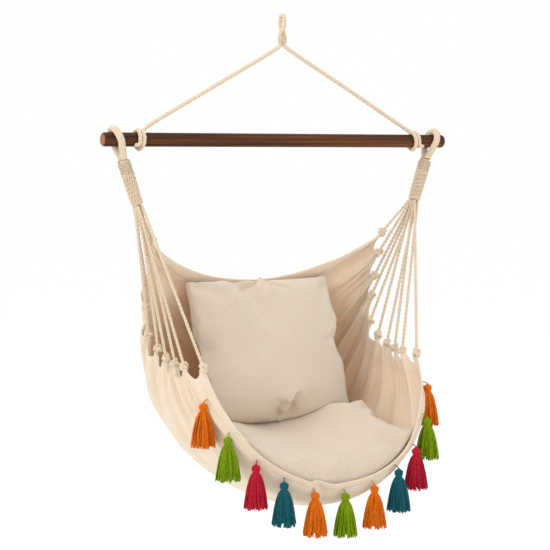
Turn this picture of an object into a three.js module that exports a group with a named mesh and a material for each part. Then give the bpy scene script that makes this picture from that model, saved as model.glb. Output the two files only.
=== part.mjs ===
// Hammock chair: a canvas sling with two loose cushions, hung by gathered cords from a wooden
// spreader bar, which hangs from one rope with an eye. Millimetres, +Z up, +X along the bar,
// -Y to the front. The origin is the point in the top of the eye where a hook carries the chair.
import * as THREE from "three";

// Spreader bar
const BAR_LENGTH = 1000;
const BAR_DIAMETER = 34;
const BAR_END_ROUND = 7;
const BAR_DROP = 310; // eye down to the bar's axis

// Hanging rope
const ROPE_DIAMETER = 10;
const EYE_WIDTH = 10; // clear width inside the eye
const EYE_LENGTH = 18; // straight stretch of the eye's two strands
const EYE_TWIST_LENGTH = 24; // where the strands turn from front and back to side by side
const ROPE_NECK_LENGTH = 24;
const HITCH_INSET = 104; // from the bar's end to where each leg meets the bar
const ROPE_TAIL_LENGTH = 12;
const WHIPPING_WALL = 1.4;

// Loops over the bar and the wound necks below them
const LOOP_INSET = 38; // from the bar's end to the middle of the loop
const LOOP_CORD_DIAMETER = 16;
const LOOP_DROP = 47; // bar's axis down to the top of the wound neck
const NECK_SLANT = 55; // how much nearer the middle the neck's bottom is than the loop
const NECK_BOTTOM_DROP = 157; // bar's axis down to the bottom of the wound neck
const NECK_WIDTH = 40; // front to back
const NECK_THICKNESS = 30; // side to side

// Suspension cords and their end knots
const CORD_DIAMETER = 5.2;
const CORD_PITCH = 6; // between columns of cords where they leave the neck
const CORD_ROW_PITCH = 10; // between the inner and the outer row of cords there
const KNOT_DIAMETER = 19;
const KNOT_LENGTH = 24;

// Sling
const SLING_HALF_WIDTH = 341;
const SLING_REACH = 370; // bar's axis forward to the front lip
const SLING_DROP = 910; // bar's axis down to the lowest cloth
const SLING_TRIM = 88; // how far the lowest cloth is swung back, so that the sling hangs in balance
const CLOTH_THICKNESS = 2;
const HEM_THICKNESS = 4;
const HEM_WIDTH = 28;
const FOLD_DEPTH = 13;

// Cushions
const SEAT_CUSHION_WIDTH = 500;
const SEAT_CUSHION_DEPTH = 585; // along the cloth
const SEAT_CUSHION_CROWN = 174; // thickness in the middle
const SEAT_CUSHION_LIFT = 20; // height of its seam over the cloth
const SEAT_CUSHION_SETBACK = 38; // from the front lip
const BACK_CUSHION_WIDTH = 430;
const BACK_CUSHION_HEIGHT = 374;
const BACK_CUSHION_CROWN = 150;
const BACK_CUSHION_BOW = 14; // how far its sides come forward
const COVER_WALL = 1.5;
const COVER_SEAM = 7; // from the outer edge of a cover to its inner one
const PAD_ROOM = 0.9; // between a cover and its filling
const PAD_SEAM_ROOM = 3; // the same at the seam
const FILLING_SLIT = 3; // opening of each cover

// Tassels
const TASSEL_LENGTH = 108; // head and skirt
const TASSEL_HEAD_DIAMETER = 20;
const TASSEL_NECK_DIAMETER = 14;
const TASSEL_SKIRT_DIAMETER = 56;
const TASSEL_THREAD_DIAMETER = 3;
const TASSEL_THREAD_DROP = 9; // from the hem down to the head's top
const TASSEL_STAND_OFF = 11; // from the hem out to the tassel's middle

const CONTACT_GAP = 0.3; // left between pieces that touch

const CORD_SIDES_COUNT = 8;
const ROPE_SIDES_COUNT = 10;
const CLOTH_ROW_COUNT = 36;
const CLOTH_COLUMN_COUNT = 15;
const CUSHION_CELL_COUNT = 12;

// The middle line of the cloth from the top of the back to the front lip:
// shares of SLING_REACH (plus is to the back) and of SLING_DROP.
const CENTRE_LINE_SHARES = [
  [0.3, 0.3975],
  [0.41, 0.505],
  [0.49, 0.615],
  [0.53, 0.72],
  [0.515, 0.815],
  [0.43, 0.892],
  [0.28, 0.952],
  [0.08, 0.981],
  [-0.16, 0.996],
  [-0.4, 1.0],
  [-0.64, 0.993],
  [-0.85, 0.975],
  [-0.965, 0.948],
  [-1.0, 0.908],
];

// The end knots from the top of the back to the front: shares of SLING_HALF_WIDTH, of
// SLING_REACH and of SLING_DROP.
const KNOT_SHARES = [
  [1.0, 0.081, 0.267],
  [0.998, 0.105, 0.328],
  [0.997, 0.143, 0.398],
  [0.991, 0.152, 0.456],
  [0.976, 0.13, 0.534],
  [0.962, 0.0, 0.57],
  [0.96, -0.122, 0.59],
  [0.951, -0.235, 0.598],
  [0.94, -0.345, 0.603],
  [0.908, -0.56, 0.599],
];

// Where each cord leaves the neck, in rows (plus is outward) and columns (plus is to the back).
const CORD_EXIT_SHARES = [
  [-0.5, 2],
  [-0.5, 1],
  [0.5, 2],
  [0.5, 1],
  [0.5, 0],
  [-0.5, 0],
  [0.5, -1],
  [-0.5, -1],
  [0.5, -2],
  [-0.5, -2],
];

// Outlines as shares of a length and of a radius
const NECK_OUTLINE_SHARES = [
  [0, 0.74],
  [0.05, 0.92],
  [0.14, 1],
  [0.24, 0.95],
  [0.34, 0.98],
  [0.7, 0.92],
  [1, 0.86],
];
const KNOT_OUTLINE_SHARES = [
  [0.1, 0.62],
  [0.28, 0.95],
  [0.48, 0.9],
  [0.62, 1],
  [0.82, 0.72],
  [1, 0.42],
];
const TASSEL_SKIRT_SHARES = [
  [0.05, 0.34],
  [0.2, 0.5],
  [0.45, 0.68],
  [0.75, 0.86],
  [1, 1],
];

// How far each crosswise curve of the cloth turns, in quarter turns, from back to front
const TURN_SHARES = [0.5, 0.56, 0.68, 0.82, 0.92, 0.97, 0.98, 0.98, 0.98];
const SWEEP_SHARE = 1.35; // how late the cloth's sides come forward
const SCALLOP_SHARE = 0.07; // how far the edge draws back between two knots
const FOLD_START_SHARE = 0.3; // where the folds fade in from the middle
const FOLD_FULL_SHARE = 0.85;
const CROWN_CORNER_SHARE = 2.1; // how square a cushion's outline of equal height is
const CROWN_EDGE_SHARE = 0.58; // how fast a cushion thickens from its seam
const SEAM_RISE_SHARE = 0.8; // how far a sunk cushion's inner layers rise above its outer seam
const SEAT_WEDGE_SHARE = 0.38; // how much thinner the seat cushion is in front
const SEAT_REAR_SHARE = 0.32; // how much narrower it is at the back
const BACK_LEAN_SHARE = 0.22; // lean of the back cushion, in quarter turns
const DRAW_IN_SHARE = 0.06; // how far a cushion's sides are drawn in between its corners
const SLIT_SHARE = 0.6; // length of the filling slit against its side
const HEAD_HEIGHT_SHARE = 0.95; // height of a tassel's head against its width
const TASSEL_PLACE_SHARES = [0, 0.178, 0.35, 0.515, 0.7, 0.88]; // along each half of the hem
const TASSEL_STAND_OFF_SHARES = [1, 1, 1, 1.1, 1.2, 1.6];

const ORANGE = "#f28a1e";
const LIME = "#8aa61c";
const RASPBERRY = "#d02f4b";
const TEAL = "#1f6672";
const TASSEL_COLOURS = [LIME, ORANGE, TEAL, RASPBERRY, LIME, ORANGE]; // from the middle outward

const barRadius = BAR_DIAMETER / 2;
const barZ = -BAR_DROP;
const hitchX = BAR_LENGTH / 2 - HITCH_INSET;
const loopX = BAR_LENGTH / 2 - LOOP_INSET;
const down = new THREE.Vector3(0, 0, -1);
const chair = new THREE.Group();

function yarn(colour) {
  return new THREE.MeshStandardMaterial({ color: colour, roughness: 0.95, metalness: 0 });
}

const wood = new THREE.MeshStandardMaterial({ color: "#4a2c1e", roughness: 0.5, metalness: 0 });
const rope = yarn("#dccbb2");
const canvas = yarn("#ead9c6");
const cover = yarn("#ecdfcf");
const filling = yarn("#f7f4ee");

function addPiece(name, geometry, material) {
  const mesh = new THREE.Mesh(geometry, material);
  mesh.name = name;
  chair.add(mesh);
  return mesh;
}

// A curve whose sections stand at its control points, so that its bends get more of them.
class StationCurve extends THREE.CatmullRomCurve3 {
  getUtoTmapping(share) {
    return share;
  }
}

function tube(points, diameter, sides) {
  const outline = [];
  for (let i = 0; i < sides; i += 1) {
    const angle = (2 * Math.PI * i) / sides;
    outline.push(
      new THREE.Vector2((diameter / 2) * Math.cos(angle), (diameter / 2) * Math.sin(angle)),
    );
  }
  return new THREE.ExtrudeGeometry(new THREE.Shape(outline), {
    steps: points.length - 1,
    extrudePath: new StationCurve(points, false, "centripetal"),
    bevelEnabled: false,
  });
}

// A turned solid along +Z. The profile holds pairs of place along the axis and radius.
function turned(profile, sides) {
  const points = profile.map(([along, radius]) => new THREE.Vector2(radius, along));
  return new THREE.LatheGeometry(points, sides).rotateX(Math.PI / 2);
}

function place(mesh, start, direction) {
  mesh.position.copy(start);
  mesh.quaternion.setFromUnitVectors(new THREE.Vector3(0, 0, 1), direction);
}

function sideName(side) {
  return side < 0 ? "left" : "right";
}

// Spreader bar
function addSpreaderBar() {
  const half = BAR_LENGTH / 2;
  const roundStepCount = 4;
  const end = [];
  for (let i = 0; i <= roundStepCount; i += 1) {
    const angle = (Math.PI / 2) * (i / roundStepCount);
    end.push([
      half - BAR_END_ROUND * (1 - Math.cos(angle)),
      barRadius - BAR_END_ROUND * (1 - Math.sin(angle)),
    ]);
  }
  const leftEnd = end.map(([along, radius]) => [-along, radius]);
  const profile = [[-half, 0], ...leftEnd, ...end.reverse(), [half, 0]];
  const bar = addPiece("spreader_bar", turned(profile, 24), wood);
  place(bar, new THREE.Vector3(0, 0, barZ), new THREE.Vector3(1, 0, 0));
}

// Hanging rope: half of its route, from the top of the eye to the tail beside the bar
const ropeRadius = ROPE_DIAMETER / 2;
const strandHalfGap = ropeRadius + CONTACT_GAP;
const eyeRadius = EYE_WIDTH / 2 + ropeRadius;
const twistTopZ = -EYE_WIDTH / 2 - EYE_LENGTH;
const neckTopZ = twistTopZ - EYE_TWIST_LENGTH;
const neckBottomZ = neckTopZ - ROPE_NECK_LENGTH;
const wrapStepCount = 15;
const wrapStart = Math.PI / 6; // angles from the top of the bar towards the front
const wrapEnd = 2.65 * Math.PI;
const wrapStep = (wrapEnd - wrapStart) / wrapStepCount;
const wrapRadius = ropeRadius + (barRadius + CONTACT_GAP) / Math.cos(wrapStep / 2);
const wrapPitch = ROPE_DIAMETER + 2 * CONTACT_GAP;

function eyeHalf(side) {
  const points = [];
  const arcStepCount = 4;
  for (let i = 1; i <= arcStepCount; i += 1) {
    const angle = (Math.PI / 2) * (i / arcStepCount);
    points.push([0, side * eyeRadius * Math.sin(angle), eyeRadius * Math.cos(angle) - EYE_WIDTH / 2]);
  }
  const twistStepCount = 5;
  for (let i = 0; i <= twistStepCount; i += 1) {
    const share = i / twistStepCount;
    const eased = share * share * (3 - 2 * share);
    const radius = THREE.MathUtils.lerp(eyeRadius, strandHalfGap, eased);
    const angle = (Math.PI / 2) * (1 - eased);
    points.push([
      side * radius * Math.cos(angle),
      side * radius * Math.sin(angle),
      twistTopZ - share * EYE_TWIST_LENGTH,
    ]);
  }
  return points;
}

function hitch(side) {
  const points = [];
  for (let i = 0; i <= wrapStepCount; i += 1) {
    const angle = wrapStart + i * wrapStep;
    points.push([
      side * (hitchX + (wrapPitch * angle) / (2 * Math.PI)),
      -wrapRadius * Math.sin(angle),
      barZ + wrapRadius * Math.cos(angle),
    ]);
  }
  const [lastX, lastY, lastZ] = points[points.length - 1];
  const bend = ROPE_TAIL_LENGTH / 2;
  points.push([lastX + side * bend, lastY - CONTACT_GAP, lastZ - bend / 2]);
  points.push([lastX + side * ROPE_TAIL_LENGTH, lastY - 2 * CONTACT_GAP, lastZ - bend / 2]);
  return points;
}

function ropeHalf(side) {
  const legTop = [side * (strandHalfGap + ropeRadius), 0, neckBottomZ - ropeRadius];
  const legFoot = [side * (hitchX - ROPE_DIAMETER), -ropeRadius / 2, barZ + wrapRadius + ropeRadius];
  const legMiddle = legTop.map((value, axis) => (value + legFoot[axis]) / 2);
  const neckBottom = [side * strandHalfGap, 0, neckBottomZ];
  return [...eyeHalf(side), neckBottom, legTop, legMiddle, legFoot, ...hitch(side)];
}

function addHangingRope() {
  const top = [0, 0, eyeRadius - EYE_WIDTH / 2];
  const route = [...ropeHalf(-1).reverse(), top, ...ropeHalf(1)];
  const points = route.map((point) => new THREE.Vector3(...point));
  addPiece("hanging_rope", tube(points, ROPE_DIAMETER, ROPE_SIDES_COUNT), rope);
}

// Whipping: a wound sleeve round the two strands of the neck
function addRopeWhipping() {
  const outer = new THREE.Shape();
  const inner = new THREE.Path();
  const room = ropeRadius + CONTACT_GAP;
  for (const [path, radius] of [
    [outer, room + WHIPPING_WALL],
    [inner, room],
  ]) {
    path.absarc(strandHalfGap, 0, radius, -Math.PI / 2, Math.PI / 2);
    path.absarc(-strandHalfGap, 0, radius, Math.PI / 2, 1.5 * Math.PI);
    path.closePath();
  }
  outer.holes.push(inner);
  const length = ROPE_NECK_LENGTH - ropeRadius;
  const options = { depth: length, bevelEnabled: false, curveSegments: 6 };
  const sleeve = new THREE.ExtrudeGeometry(outer, options);
  addPiece("rope_whipping", sleeve, rope).position.z = neckTopZ - length;
}

// Loops over the bar and wound necks, both on the line from the bar to the neck's bottom
const neckLean = Math.atan2(NECK_SLANT, NECK_BOTTOM_DROP);
const loopStepCount = 12;
const loopEnd = THREE.MathUtils.degToRad(128); // how far each strand follows the bar
const loopStep = (2 * loopEnd) / loopStepCount;
const loopRadius = LOOP_CORD_DIAMETER / 2 + (barRadius + CONTACT_GAP) / Math.cos(loopStep / 2);

function onNeckLine(side, y, height) {
  return new THREE.Vector3(side * (loopX + height * Math.tan(neckLean)), y, barZ + height);
}

function neckDirection(side) {
  return new THREE.Vector3(-side * Math.sin(neckLean), 0, -Math.cos(neckLean));
}

function addBarLoop(side) {
  const points = [];
  const strandY = LOOP_CORD_DIAMETER / 2 + CONTACT_GAP;
  const end = -LOOP_DROP + CONTACT_GAP / Math.cos(neckLean);
  const straight = end + LOOP_CORD_DIAMETER / 4;
  points.push(onNeckLine(side, -strandY, end));
  points.push(onNeckLine(side, -strandY, straight));
  for (let i = 0; i <= loopStepCount; i += 1) {
    const angle = i * loopStep - loopEnd;
    points.push(onNeckLine(side, loopRadius * Math.sin(angle), loopRadius * Math.cos(angle)));
  }
  points.push(onNeckLine(side, strandY, straight));
  points.push(onNeckLine(side, strandY, end));
  addPiece(`${sideName(side)}_bar_loop`, tube(points, LOOP_CORD_DIAMETER, ROPE_SIDES_COUNT), rope);
}

function addNeckWrap(side) {
  const length = (NECK_BOTTOM_DROP - LOOP_DROP) / Math.cos(neckLean);
  const outline = NECK_OUTLINE_SHARES.map(([along, radius]) => [along * length, radius]);
  const solid = turned([[0, 0], ...outline, [length, 0]], 16);
  solid.scale(NECK_THICKNESS / 2, NECK_WIDTH / 2, 1);
  const wrap = addPiece(`${sideName(side)}_neck_wrap`, solid, rope);
  place(wrap, onNeckLine(side, 0, -LOOP_DROP), neckDirection(side));
}

function slingY(back, drop) {
  return back * SLING_REACH + drop * SLING_TRIM;
}

// Suspension cords: each is straight, from the neck's bottom to the middle of its end knot
const cordRadius = CORD_DIAMETER / 2;

function cordRun(side, index) {
  const [row, column] = CORD_EXIT_SHARES[index];
  const [out, back, drop] = KNOT_SHARES[index];
  const neck = neckDirection(side);
  const rowAxis = new THREE.Vector3(side * Math.cos(neckLean), 0, -Math.sin(neckLean));
  const exit = onNeckLine(side, column * CORD_PITCH, -NECK_BOTTOM_DROP);
  exit.addScaledVector(rowAxis, row * CORD_ROW_PITCH);
  const knotX = side * out * SLING_HALF_WIDTH;
  const knot = new THREE.Vector3(knotX, slingY(back, drop), barZ - drop * SLING_DROP);
  const direction = knot.clone().sub(exit).normalize();
  const cosine = direction.dot(neck);
  const sine = Math.sqrt(1 - cosine * cosine);
  const start = exit.addScaledVector(direction, (CONTACT_GAP + cordRadius * sine) / cosine);
  return { start, direction, length: start.distanceTo(knot) };
}

function addCord(side, index) {
  const { start, direction, length } = cordRun(side, index);
  const knotStart = length - KNOT_LENGTH / 2;
  const knot = KNOT_OUTLINE_SHARES.map(([along, radius]) => [
    knotStart + along * KNOT_LENGTH,
    (radius * KNOT_DIAMETER) / 2,
  ]);
  const profile = [
    [0, 0],
    [0, cordRadius],
    [knotStart, cordRadius],
    ...knot,
    [knotStart + KNOT_LENGTH, 0],
  ];
  const number = String(index + 1).padStart(2, "0");
  const cord = addPiece(`${sideName(side)}_cord_${number}`, turned(profile, CORD_SIDES_COUNT), rope);
  place(cord, start, direction);
}

// Sling surface: across runs from -1 at the left edge to 1 at the right one, along from 0 at the
// top of the back to 1 at the front lip.
const centreLine = new THREE.CatmullRomCurve3(
  CENTRE_LINE_SHARES.map(
    ([back, drop]) => new THREE.Vector3(0, slingY(back, drop), barZ - drop * SLING_DROP),
  ),
);
const edgeLine = new THREE.CatmullRomCurve3(
  KNOT_SHARES.map((shares, index) => {
    const { start, direction, length } = cordRun(1, index);
    return start.addScaledVector(direction, length + KNOT_LENGTH / 2 + 3 * CONTACT_GAP);
  }),
);
const turnLine = new THREE.CatmullRomCurve3(
  TURN_SHARES.map((share) => new THREE.Vector3(share * (Math.PI / 2), 0, 0)),
);
const clothLength = centreLine.getLength();
const gatherCount = KNOT_SHARES.length - 1;

function between(along) {
  return Math.sin(Math.PI * gatherCount * along) ** 2;
}

function smoothBase(across, along) {
  const centre = centreLine.getPoint(along);
  const edge = edgeLine.getPoint(along);
  const turn = turnLine.getPoint(along).x;
  const angle = Math.abs(across) * turn;
  const rise = (1 - Math.cos(angle)) / (1 - Math.cos(turn));
  return new THREE.Vector3(
    (Math.sign(across) * edge.x * Math.sin(angle)) / Math.sin(turn),
    THREE.MathUtils.lerp(centre.y, edge.y, rise ** SWEEP_SHARE),
    THREE.MathUtils.lerp(centre.z, edge.z, rise),
  );
}

// Outward normal of a surface given as a function of across and along
function outward(surface, across, along) {
  const stepShare = 0.002;
  const clamp = THREE.MathUtils.clamp;
  const acrossStep = surface(clamp(across + stepShare, -1, 1), along).sub(
    surface(clamp(across - stepShare, -1, 1), along),
  );
  const alongStep = surface(across, clamp(along + stepShare, 0, 1)).sub(
    surface(across, clamp(along - stepShare, 0, 1)),
  );
  return acrossStep.cross(alongStep).normalize();
}

function foldedSling(across, along) {
  const fade = THREE.MathUtils.smoothstep(Math.abs(across), FOLD_START_SHARE, FOLD_FULL_SHARE);
  const depth = FOLD_DEPTH * fade * between(along);
  return smoothBase(across, along).addScaledVector(outward(smoothBase, across, along), depth);
}

// Adds two triangles to a flat list of points
function addQuad(list, a, b, c, d) {
  list.push(a, b, c, a, c, d);
}

function solidFrom(list) {
  const geometry = new THREE.BufferGeometry().setFromPoints(list);
  geometry.computeVertexNormals();
  return geometry;
}

// A grid of points: rows run along, columns across
function makeGrid(rowCount, columnCount, point) {
  const grid = [];
  for (let j = 0; j <= rowCount; j += 1) {
    const row = [];
    for (let i = 0; i <= columnCount; i += 1) row.push(point(i, j));
    grid.push(row);
  }
  return grid;
}

// The faces of a grid. Each cell is cut towards the nearest corner of the grid, so that no
// triangle has all its points on the border.
function addSheet(list, grid, facesOut) {
  const rowCount = grid.length - 1;
  const columnCount = grid[0].length - 1;
  for (let j = 0; j < rowCount; j += 1) {
    for (let i = 0; i < columnCount; i += 1) {
      const corners = [grid[j][i], grid[j][i + 1], grid[j + 1][i + 1], grid[j + 1][i]];
      if (j < rowCount / 2 !== i < columnCount / 2) corners.push(corners.shift());
      const [a, b, c, d] = corners;
      if (facesOut) addQuad(list, a, b, c, d);
      else addQuad(list, a, d, c, b);
    }
  }
}

// The points round a grid, in the order of its outward faces
function borderOf(grid) {
  const last = grid.length - 1;
  const width = grid[0].length - 1;
  const border = [];
  for (let i = 0; i < width; i += 1) border.push(grid[0][i]);
  for (let j = 0; j < last; j += 1) border.push(grid[j][width]);
  for (let i = width; i > 0; i -= 1) border.push(grid[last][i]);
  for (let j = last; j > 0; j -= 1) border.push(grid[j][0]);
  return border;
}

function addSeatCloth() {
  const hemShare = HEM_WIDTH / clothLength;
  const alongAt = (j) => {
    if (j === 1) return hemShare;
    if (j === CLOTH_ROW_COUNT - 1) return 1 - hemShare;
    return j / CLOTH_ROW_COUNT;
  };
  const layer = (side) =>
    makeGrid(CLOTH_ROW_COUNT, CLOTH_COLUMN_COUNT, (i, j) => {
      const along = alongAt(j);
      const width = 1 - SCALLOP_SHARE * between(along);
      const across = width * ((2 * i) / CLOTH_COLUMN_COUNT - 1);
      const inHem = j < 2 || j > CLOTH_ROW_COUNT - 2;
      const thickness = inHem ? HEM_THICKNESS : CLOTH_THICKNESS;
      const normal = outward(foldedSling, across, along);
      return foldedSling(across, along).addScaledVector(normal, (side * thickness) / 2);
    });
  const outer = layer(1);
  const inner = layer(-1);
  const faces = [];
  addSheet(faces, outer, true);
  addSheet(faces, inner, false);
  const outerRim = borderOf(outer);
  const innerRim = borderOf(inner);
  outerRim.forEach((point, i) => {
    const next = (i + 1) % outerRim.length;
    addQuad(faces, outerRim[next], point, innerRim[i], innerRim[next]);
  });
  return addPiece("seat_cloth", solidFrom(faces), canvas);
}

// Cushions. Each is a thickness laid off from the surface through its seam, along one direction:
// to both sides, or upward only where the cushion has sunk into the cloth.
// s runs across from -1 to 1, t from -1 at the back or top to 1 at the front or bottom.
function crownAt(s, t) {
  const fullness = (1 - Math.abs(s) ** CROWN_CORNER_SHARE) * (1 - Math.abs(t) ** CROWN_CORNER_SHARE);
  return Math.max(fullness, 0) ** CROWN_EDGE_SHARE;
}

function makeSeatCushion() {
  const lengthShare = SEAT_CUSHION_DEPTH / clothLength;
  const middleShare = 1 - SEAT_CUSHION_SETBACK / clothLength - lengthShare / 2;
  const turn = turnLine.getPoint(middleShare).x;
  const edge = edgeLine.getPoint(middleShare).x;
  const halfAcross = Math.asin((SEAT_CUSHION_WIDTH / 2 / edge) * Math.sin(turn)) / turn;
  const front = smoothBase(0, middleShare + lengthShare / 2);
  const back = smoothBase(0, middleShare - lengthShare / 2);
  const up = front.sub(back).cross(new THREE.Vector3(1, 0, 0)).normalize();
  const seam = (s, t) => {
    const narrowing = 1 - SEAT_REAR_SHARE * ((1 - t) / 2) ** 2;
    const across = halfAcross * s * narrowing * (1 - DRAW_IN_SHARE * s * s * (1 - t * t));
    const along = middleShare + (lengthShare / 2) * t * (1 - DRAW_IN_SHARE * t * t * (1 - s * s));
    return smoothBase(across, along).addScaledVector(up, SEAT_CUSHION_LIFT);
  };
  return {
    name: "seat_cushion",
    width: SEAT_CUSHION_WIDTH,
    length: SEAT_CUSHION_DEPTH,
    crown: SEAT_CUSHION_CROWN,
    wedgeShare: SEAT_WEDGE_SHARE,
    lift: SEAT_CUSHION_LIFT,
    isSunk: true,
    slitEnd: -1,
    up,
    seam,
  };
}

function makeBackCushion() {
  const lean = BACK_LEAN_SHARE * (Math.PI / 2);
  const downward = new THREE.Vector3(0, -Math.sin(lean), -Math.cos(lean));
  const up = new THREE.Vector3(0, -Math.cos(lean), Math.sin(lean));
  const start = smoothBase(0, 0);
  start.addScaledVector(up, BACK_CUSHION_CROWN).addScaledVector(downward, -BACK_CUSHION_HEIGHT / 2);
  const seam = (s, t) => {
    const width = (BACK_CUSHION_WIDTH / 2) * (1 - DRAW_IN_SHARE * s * s * (1 - t * t));
    const point = start.clone().addScaledVector(downward, (BACK_CUSHION_HEIGHT * (1 + t)) / 2);
    point.x += width * s;
    return point.addScaledVector(up, BACK_CUSHION_BOW * s * s);
  };
  return {
    name: "back_cushion",
    width: BACK_CUSHION_WIDTH,
    length: BACK_CUSHION_HEIGHT,
    crown: BACK_CUSHION_CROWN,
    wedgeShare: 0,
    lift: 0,
    isSunk: false,
    slitEnd: 1,
    up,
    seam,
  };
}

// One face of a cushion: sign is -1 for the one against the cloth and 1 for the one that is used.
// At the filling slit the two faces stand apart.
function cushionFace(cushion, sign, inset, wall, slit) {
  const insetAcross = 1 - inset / (cushion.width / 2);
  const insetAlong = 1 - inset / (cushion.length / 2);
  return makeGrid(CUSHION_CELL_COUNT, CUSHION_CELL_COUNT, (i, j) => {
    const s = (2 * i) / CUSHION_CELL_COUNT - 1;
    const t = (2 * j) / CUSHION_CELL_COUNT - 1;
    const atSlit = t === cushion.slitEnd && Math.abs(s) < SLIT_SHARE;
    const opening = atSlit ? slit * Math.cos((Math.PI / 2) * (s / SLIT_SHARE)) : 0;
    const crown = crownAt(s, t);
    const thickness = cushion.crown * (1 - cushion.wedgeShare * t);
    const half = (thickness / 2) * crown;
    const lift = cushion.lift + SEAM_RISE_SHARE * thickness * (1 - insetAcross);
    const height = cushion.isSunk ? lift * (1 - crown) + half : 0;
    const point = cushion.seam(s * insetAcross, t * insetAlong);
    return point.addScaledVector(cushion.up, height + sign * (half - wall * crown + opening / 2));
  });
}

function addCover(cushion) {
  const faces = [];
  const row = cushion.slitEnd < 0 ? 0 : CUSHION_CELL_COUNT;
  for (const sign of [-1, 1]) {
    const outer = cushionFace(cushion, sign, 0, 0, FILLING_SLIT);
    const inner = cushionFace(cushion, sign, COVER_SEAM, COVER_WALL, FILLING_SLIT);
    addSheet(faces, outer, sign < 0);
    addSheet(faces, inner, sign > 0);
    for (let i = 0; i < CUSHION_CELL_COUNT; i += 1) {
      const middle = (2 * (i + 0.5)) / CUSHION_CELL_COUNT - 1;
      if (Math.abs(middle) > SLIT_SHARE) continue;
      const lip = [outer[row][i + 1], outer[row][i], inner[row][i], inner[row][i + 1]];
      if (sign > 0 !== row > 0) lip.reverse();
      addQuad(faces, ...lip);
    }
  }
  return addPiece(`${cushion.name}_cover`, solidFrom(faces), cover);
}

function addPad(cushion) {
  const faces = [];
  const inset = COVER_SEAM + PAD_SEAM_ROOM;
  const wall = COVER_WALL + PAD_ROOM;
  addSheet(faces, cushionFace(cushion, -1, inset, wall, 0), true);
  addSheet(faces, cushionFace(cushion, 1, inset, wall, 0), false);
  return addPiece(`${cushion.name}_pad`, solidFrom(faces), filling);
}

// Each edge of a mesh is tried once, from its end that is lower along this axis.
const orderAxis = new THREE.Vector3(1, 2, 3);

// How far a mesh can move in a direction before it meets another one, less the contact gap
function roomTo(mesh, direction, other) {
  const caster = new THREE.Raycaster();
  let room = Infinity;
  for (const [from, to, heading] of [
    [mesh, other, direction],
    [other, mesh, direction.clone().negate()],
  ]) {
    const corners = from.geometry.attributes.position;
    const corner = new THREE.Vector3();
    const next = new THREE.Vector3();
    for (let i = 0; i < corners.count; i += 1) {
      corner.fromBufferAttribute(corners, i).add(from.position);
      next.fromBufferAttribute(corners, i % 3 < 2 ? i + 1 : i - 2).add(from.position);
      if (next.dot(orderAxis) < corner.dot(orderAxis)) continue;
      for (const share of [0, 0.33, 0.67, 1]) {
        caster.set(corner.clone().lerp(next, share), heading);
        const [hit] = caster.intersectObject(to);
        if (hit) room = Math.min(room, hit.distance);
      }
    }
  }
  return room - CONTACT_GAP;
}

function move(pieces, direction, distance) {
  for (const piece of pieces) {
    piece.position.addScaledVector(direction, distance);
    piece.updateMatrixWorld();
  }
}

// Moves a cushion in a direction until its cover lies on another mesh
function layOn(pieces, direction, other) {
  move(pieces, direction, roomTo(pieces[0], direction, other));
}

// Where a tassel's thread comes out under the edge of the front hem
function threadExit(side, index) {
  const along = 1 - (HEM_WIDTH + TASSEL_THREAD_DIAMETER) / clothLength;
  const across = side * TASSEL_PLACE_SHARES[index];
  const normal = outward(foldedSling, across, along);
  const above = foldedSling(across, along).addScaledVector(normal, HEM_WIDTH);
  const [hit] = new THREE.Raycaster(above, normal.negate()).intersectObject(seatCloth);
  return { exit: hit.point, normal: hit.face.normal };
}

function tasselProfile() {
  const headRadius = TASSEL_HEAD_DIAMETER / 2;
  const headHeight = TASSEL_HEAD_DIAMETER * HEAD_HEIGHT_SHARE;
  const skirtLength = TASSEL_LENGTH - headHeight;
  const neckRadius = TASSEL_NECK_DIAMETER / 2;
  const neckShare = Math.asin(neckRadius / headRadius) / Math.PI;
  const profile = [[0, 0]];
  const headStepCount = 6;
  for (let i = 1; i <= headStepCount; i += 1) {
    const angle = Math.PI * (1 - neckShare) * (i / headStepCount);
    const span = (1 - Math.cos(angle)) / (1 - Math.cos(Math.PI * (1 - neckShare)));
    profile.push([headHeight * span, headRadius * Math.sin(angle)]);
  }
  for (const [along, radius] of TASSEL_SKIRT_SHARES) {
    profile.push([headHeight + along * skirtLength, (radius * TASSEL_SKIRT_DIAMETER) / 2]);
  }
  profile.push([TASSEL_LENGTH, 0]);
  return profile;
}

// Each tassel hangs a little outside the hem. Its thread leads out and down to the top of the
// head, and the tassel swings about the thread's round end.
function addTassel(side, index, number) {
  const { exit, normal } = threadExit(side, index);
  const name = String(number).padStart(2, "0");
  const colour = yarn(TASSEL_COLOURS[index]);
  const threadRadius = TASSEL_THREAD_DIAMETER / 2;
  const standOff = TASSEL_STAND_OFF * TASSEL_STAND_OFF_SHARES[index];
  const head = new THREE.Vector3(normal.x, normal.y, 0).setLength(standOff).add(exit);
  head.z -= TASSEL_THREAD_DROP;
  place(addPiece(`tassel_${name}`, turned(tasselProfile(), 12), colour), head, down);
  const threadEnd = head.clone().addScaledVector(down, -threadRadius - CONTACT_GAP);
  const direction = threadEnd.clone().sub(exit).normalize();
  const cosine = direction.dot(normal);
  const room = CONTACT_GAP + threadRadius * Math.sqrt(1 - cosine * cosine);
  const start = exit.addScaledVector(direction, room / cosine);
  const length = start.distanceTo(threadEnd);
  const profile = [
    [0, 0],
    [0, threadRadius],
  ];
  const roundStepCount = 3;
  for (let i = 0; i <= roundStepCount; i += 1) {
    const angle = (Math.PI / 2) * (i / roundStepCount);
    profile.push([length + threadRadius * Math.sin(angle), threadRadius * Math.cos(angle)]);
  }
  place(addPiece(`tassel_thread_${name}`, turned(profile, 6), colour), start, direction);
}

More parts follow.
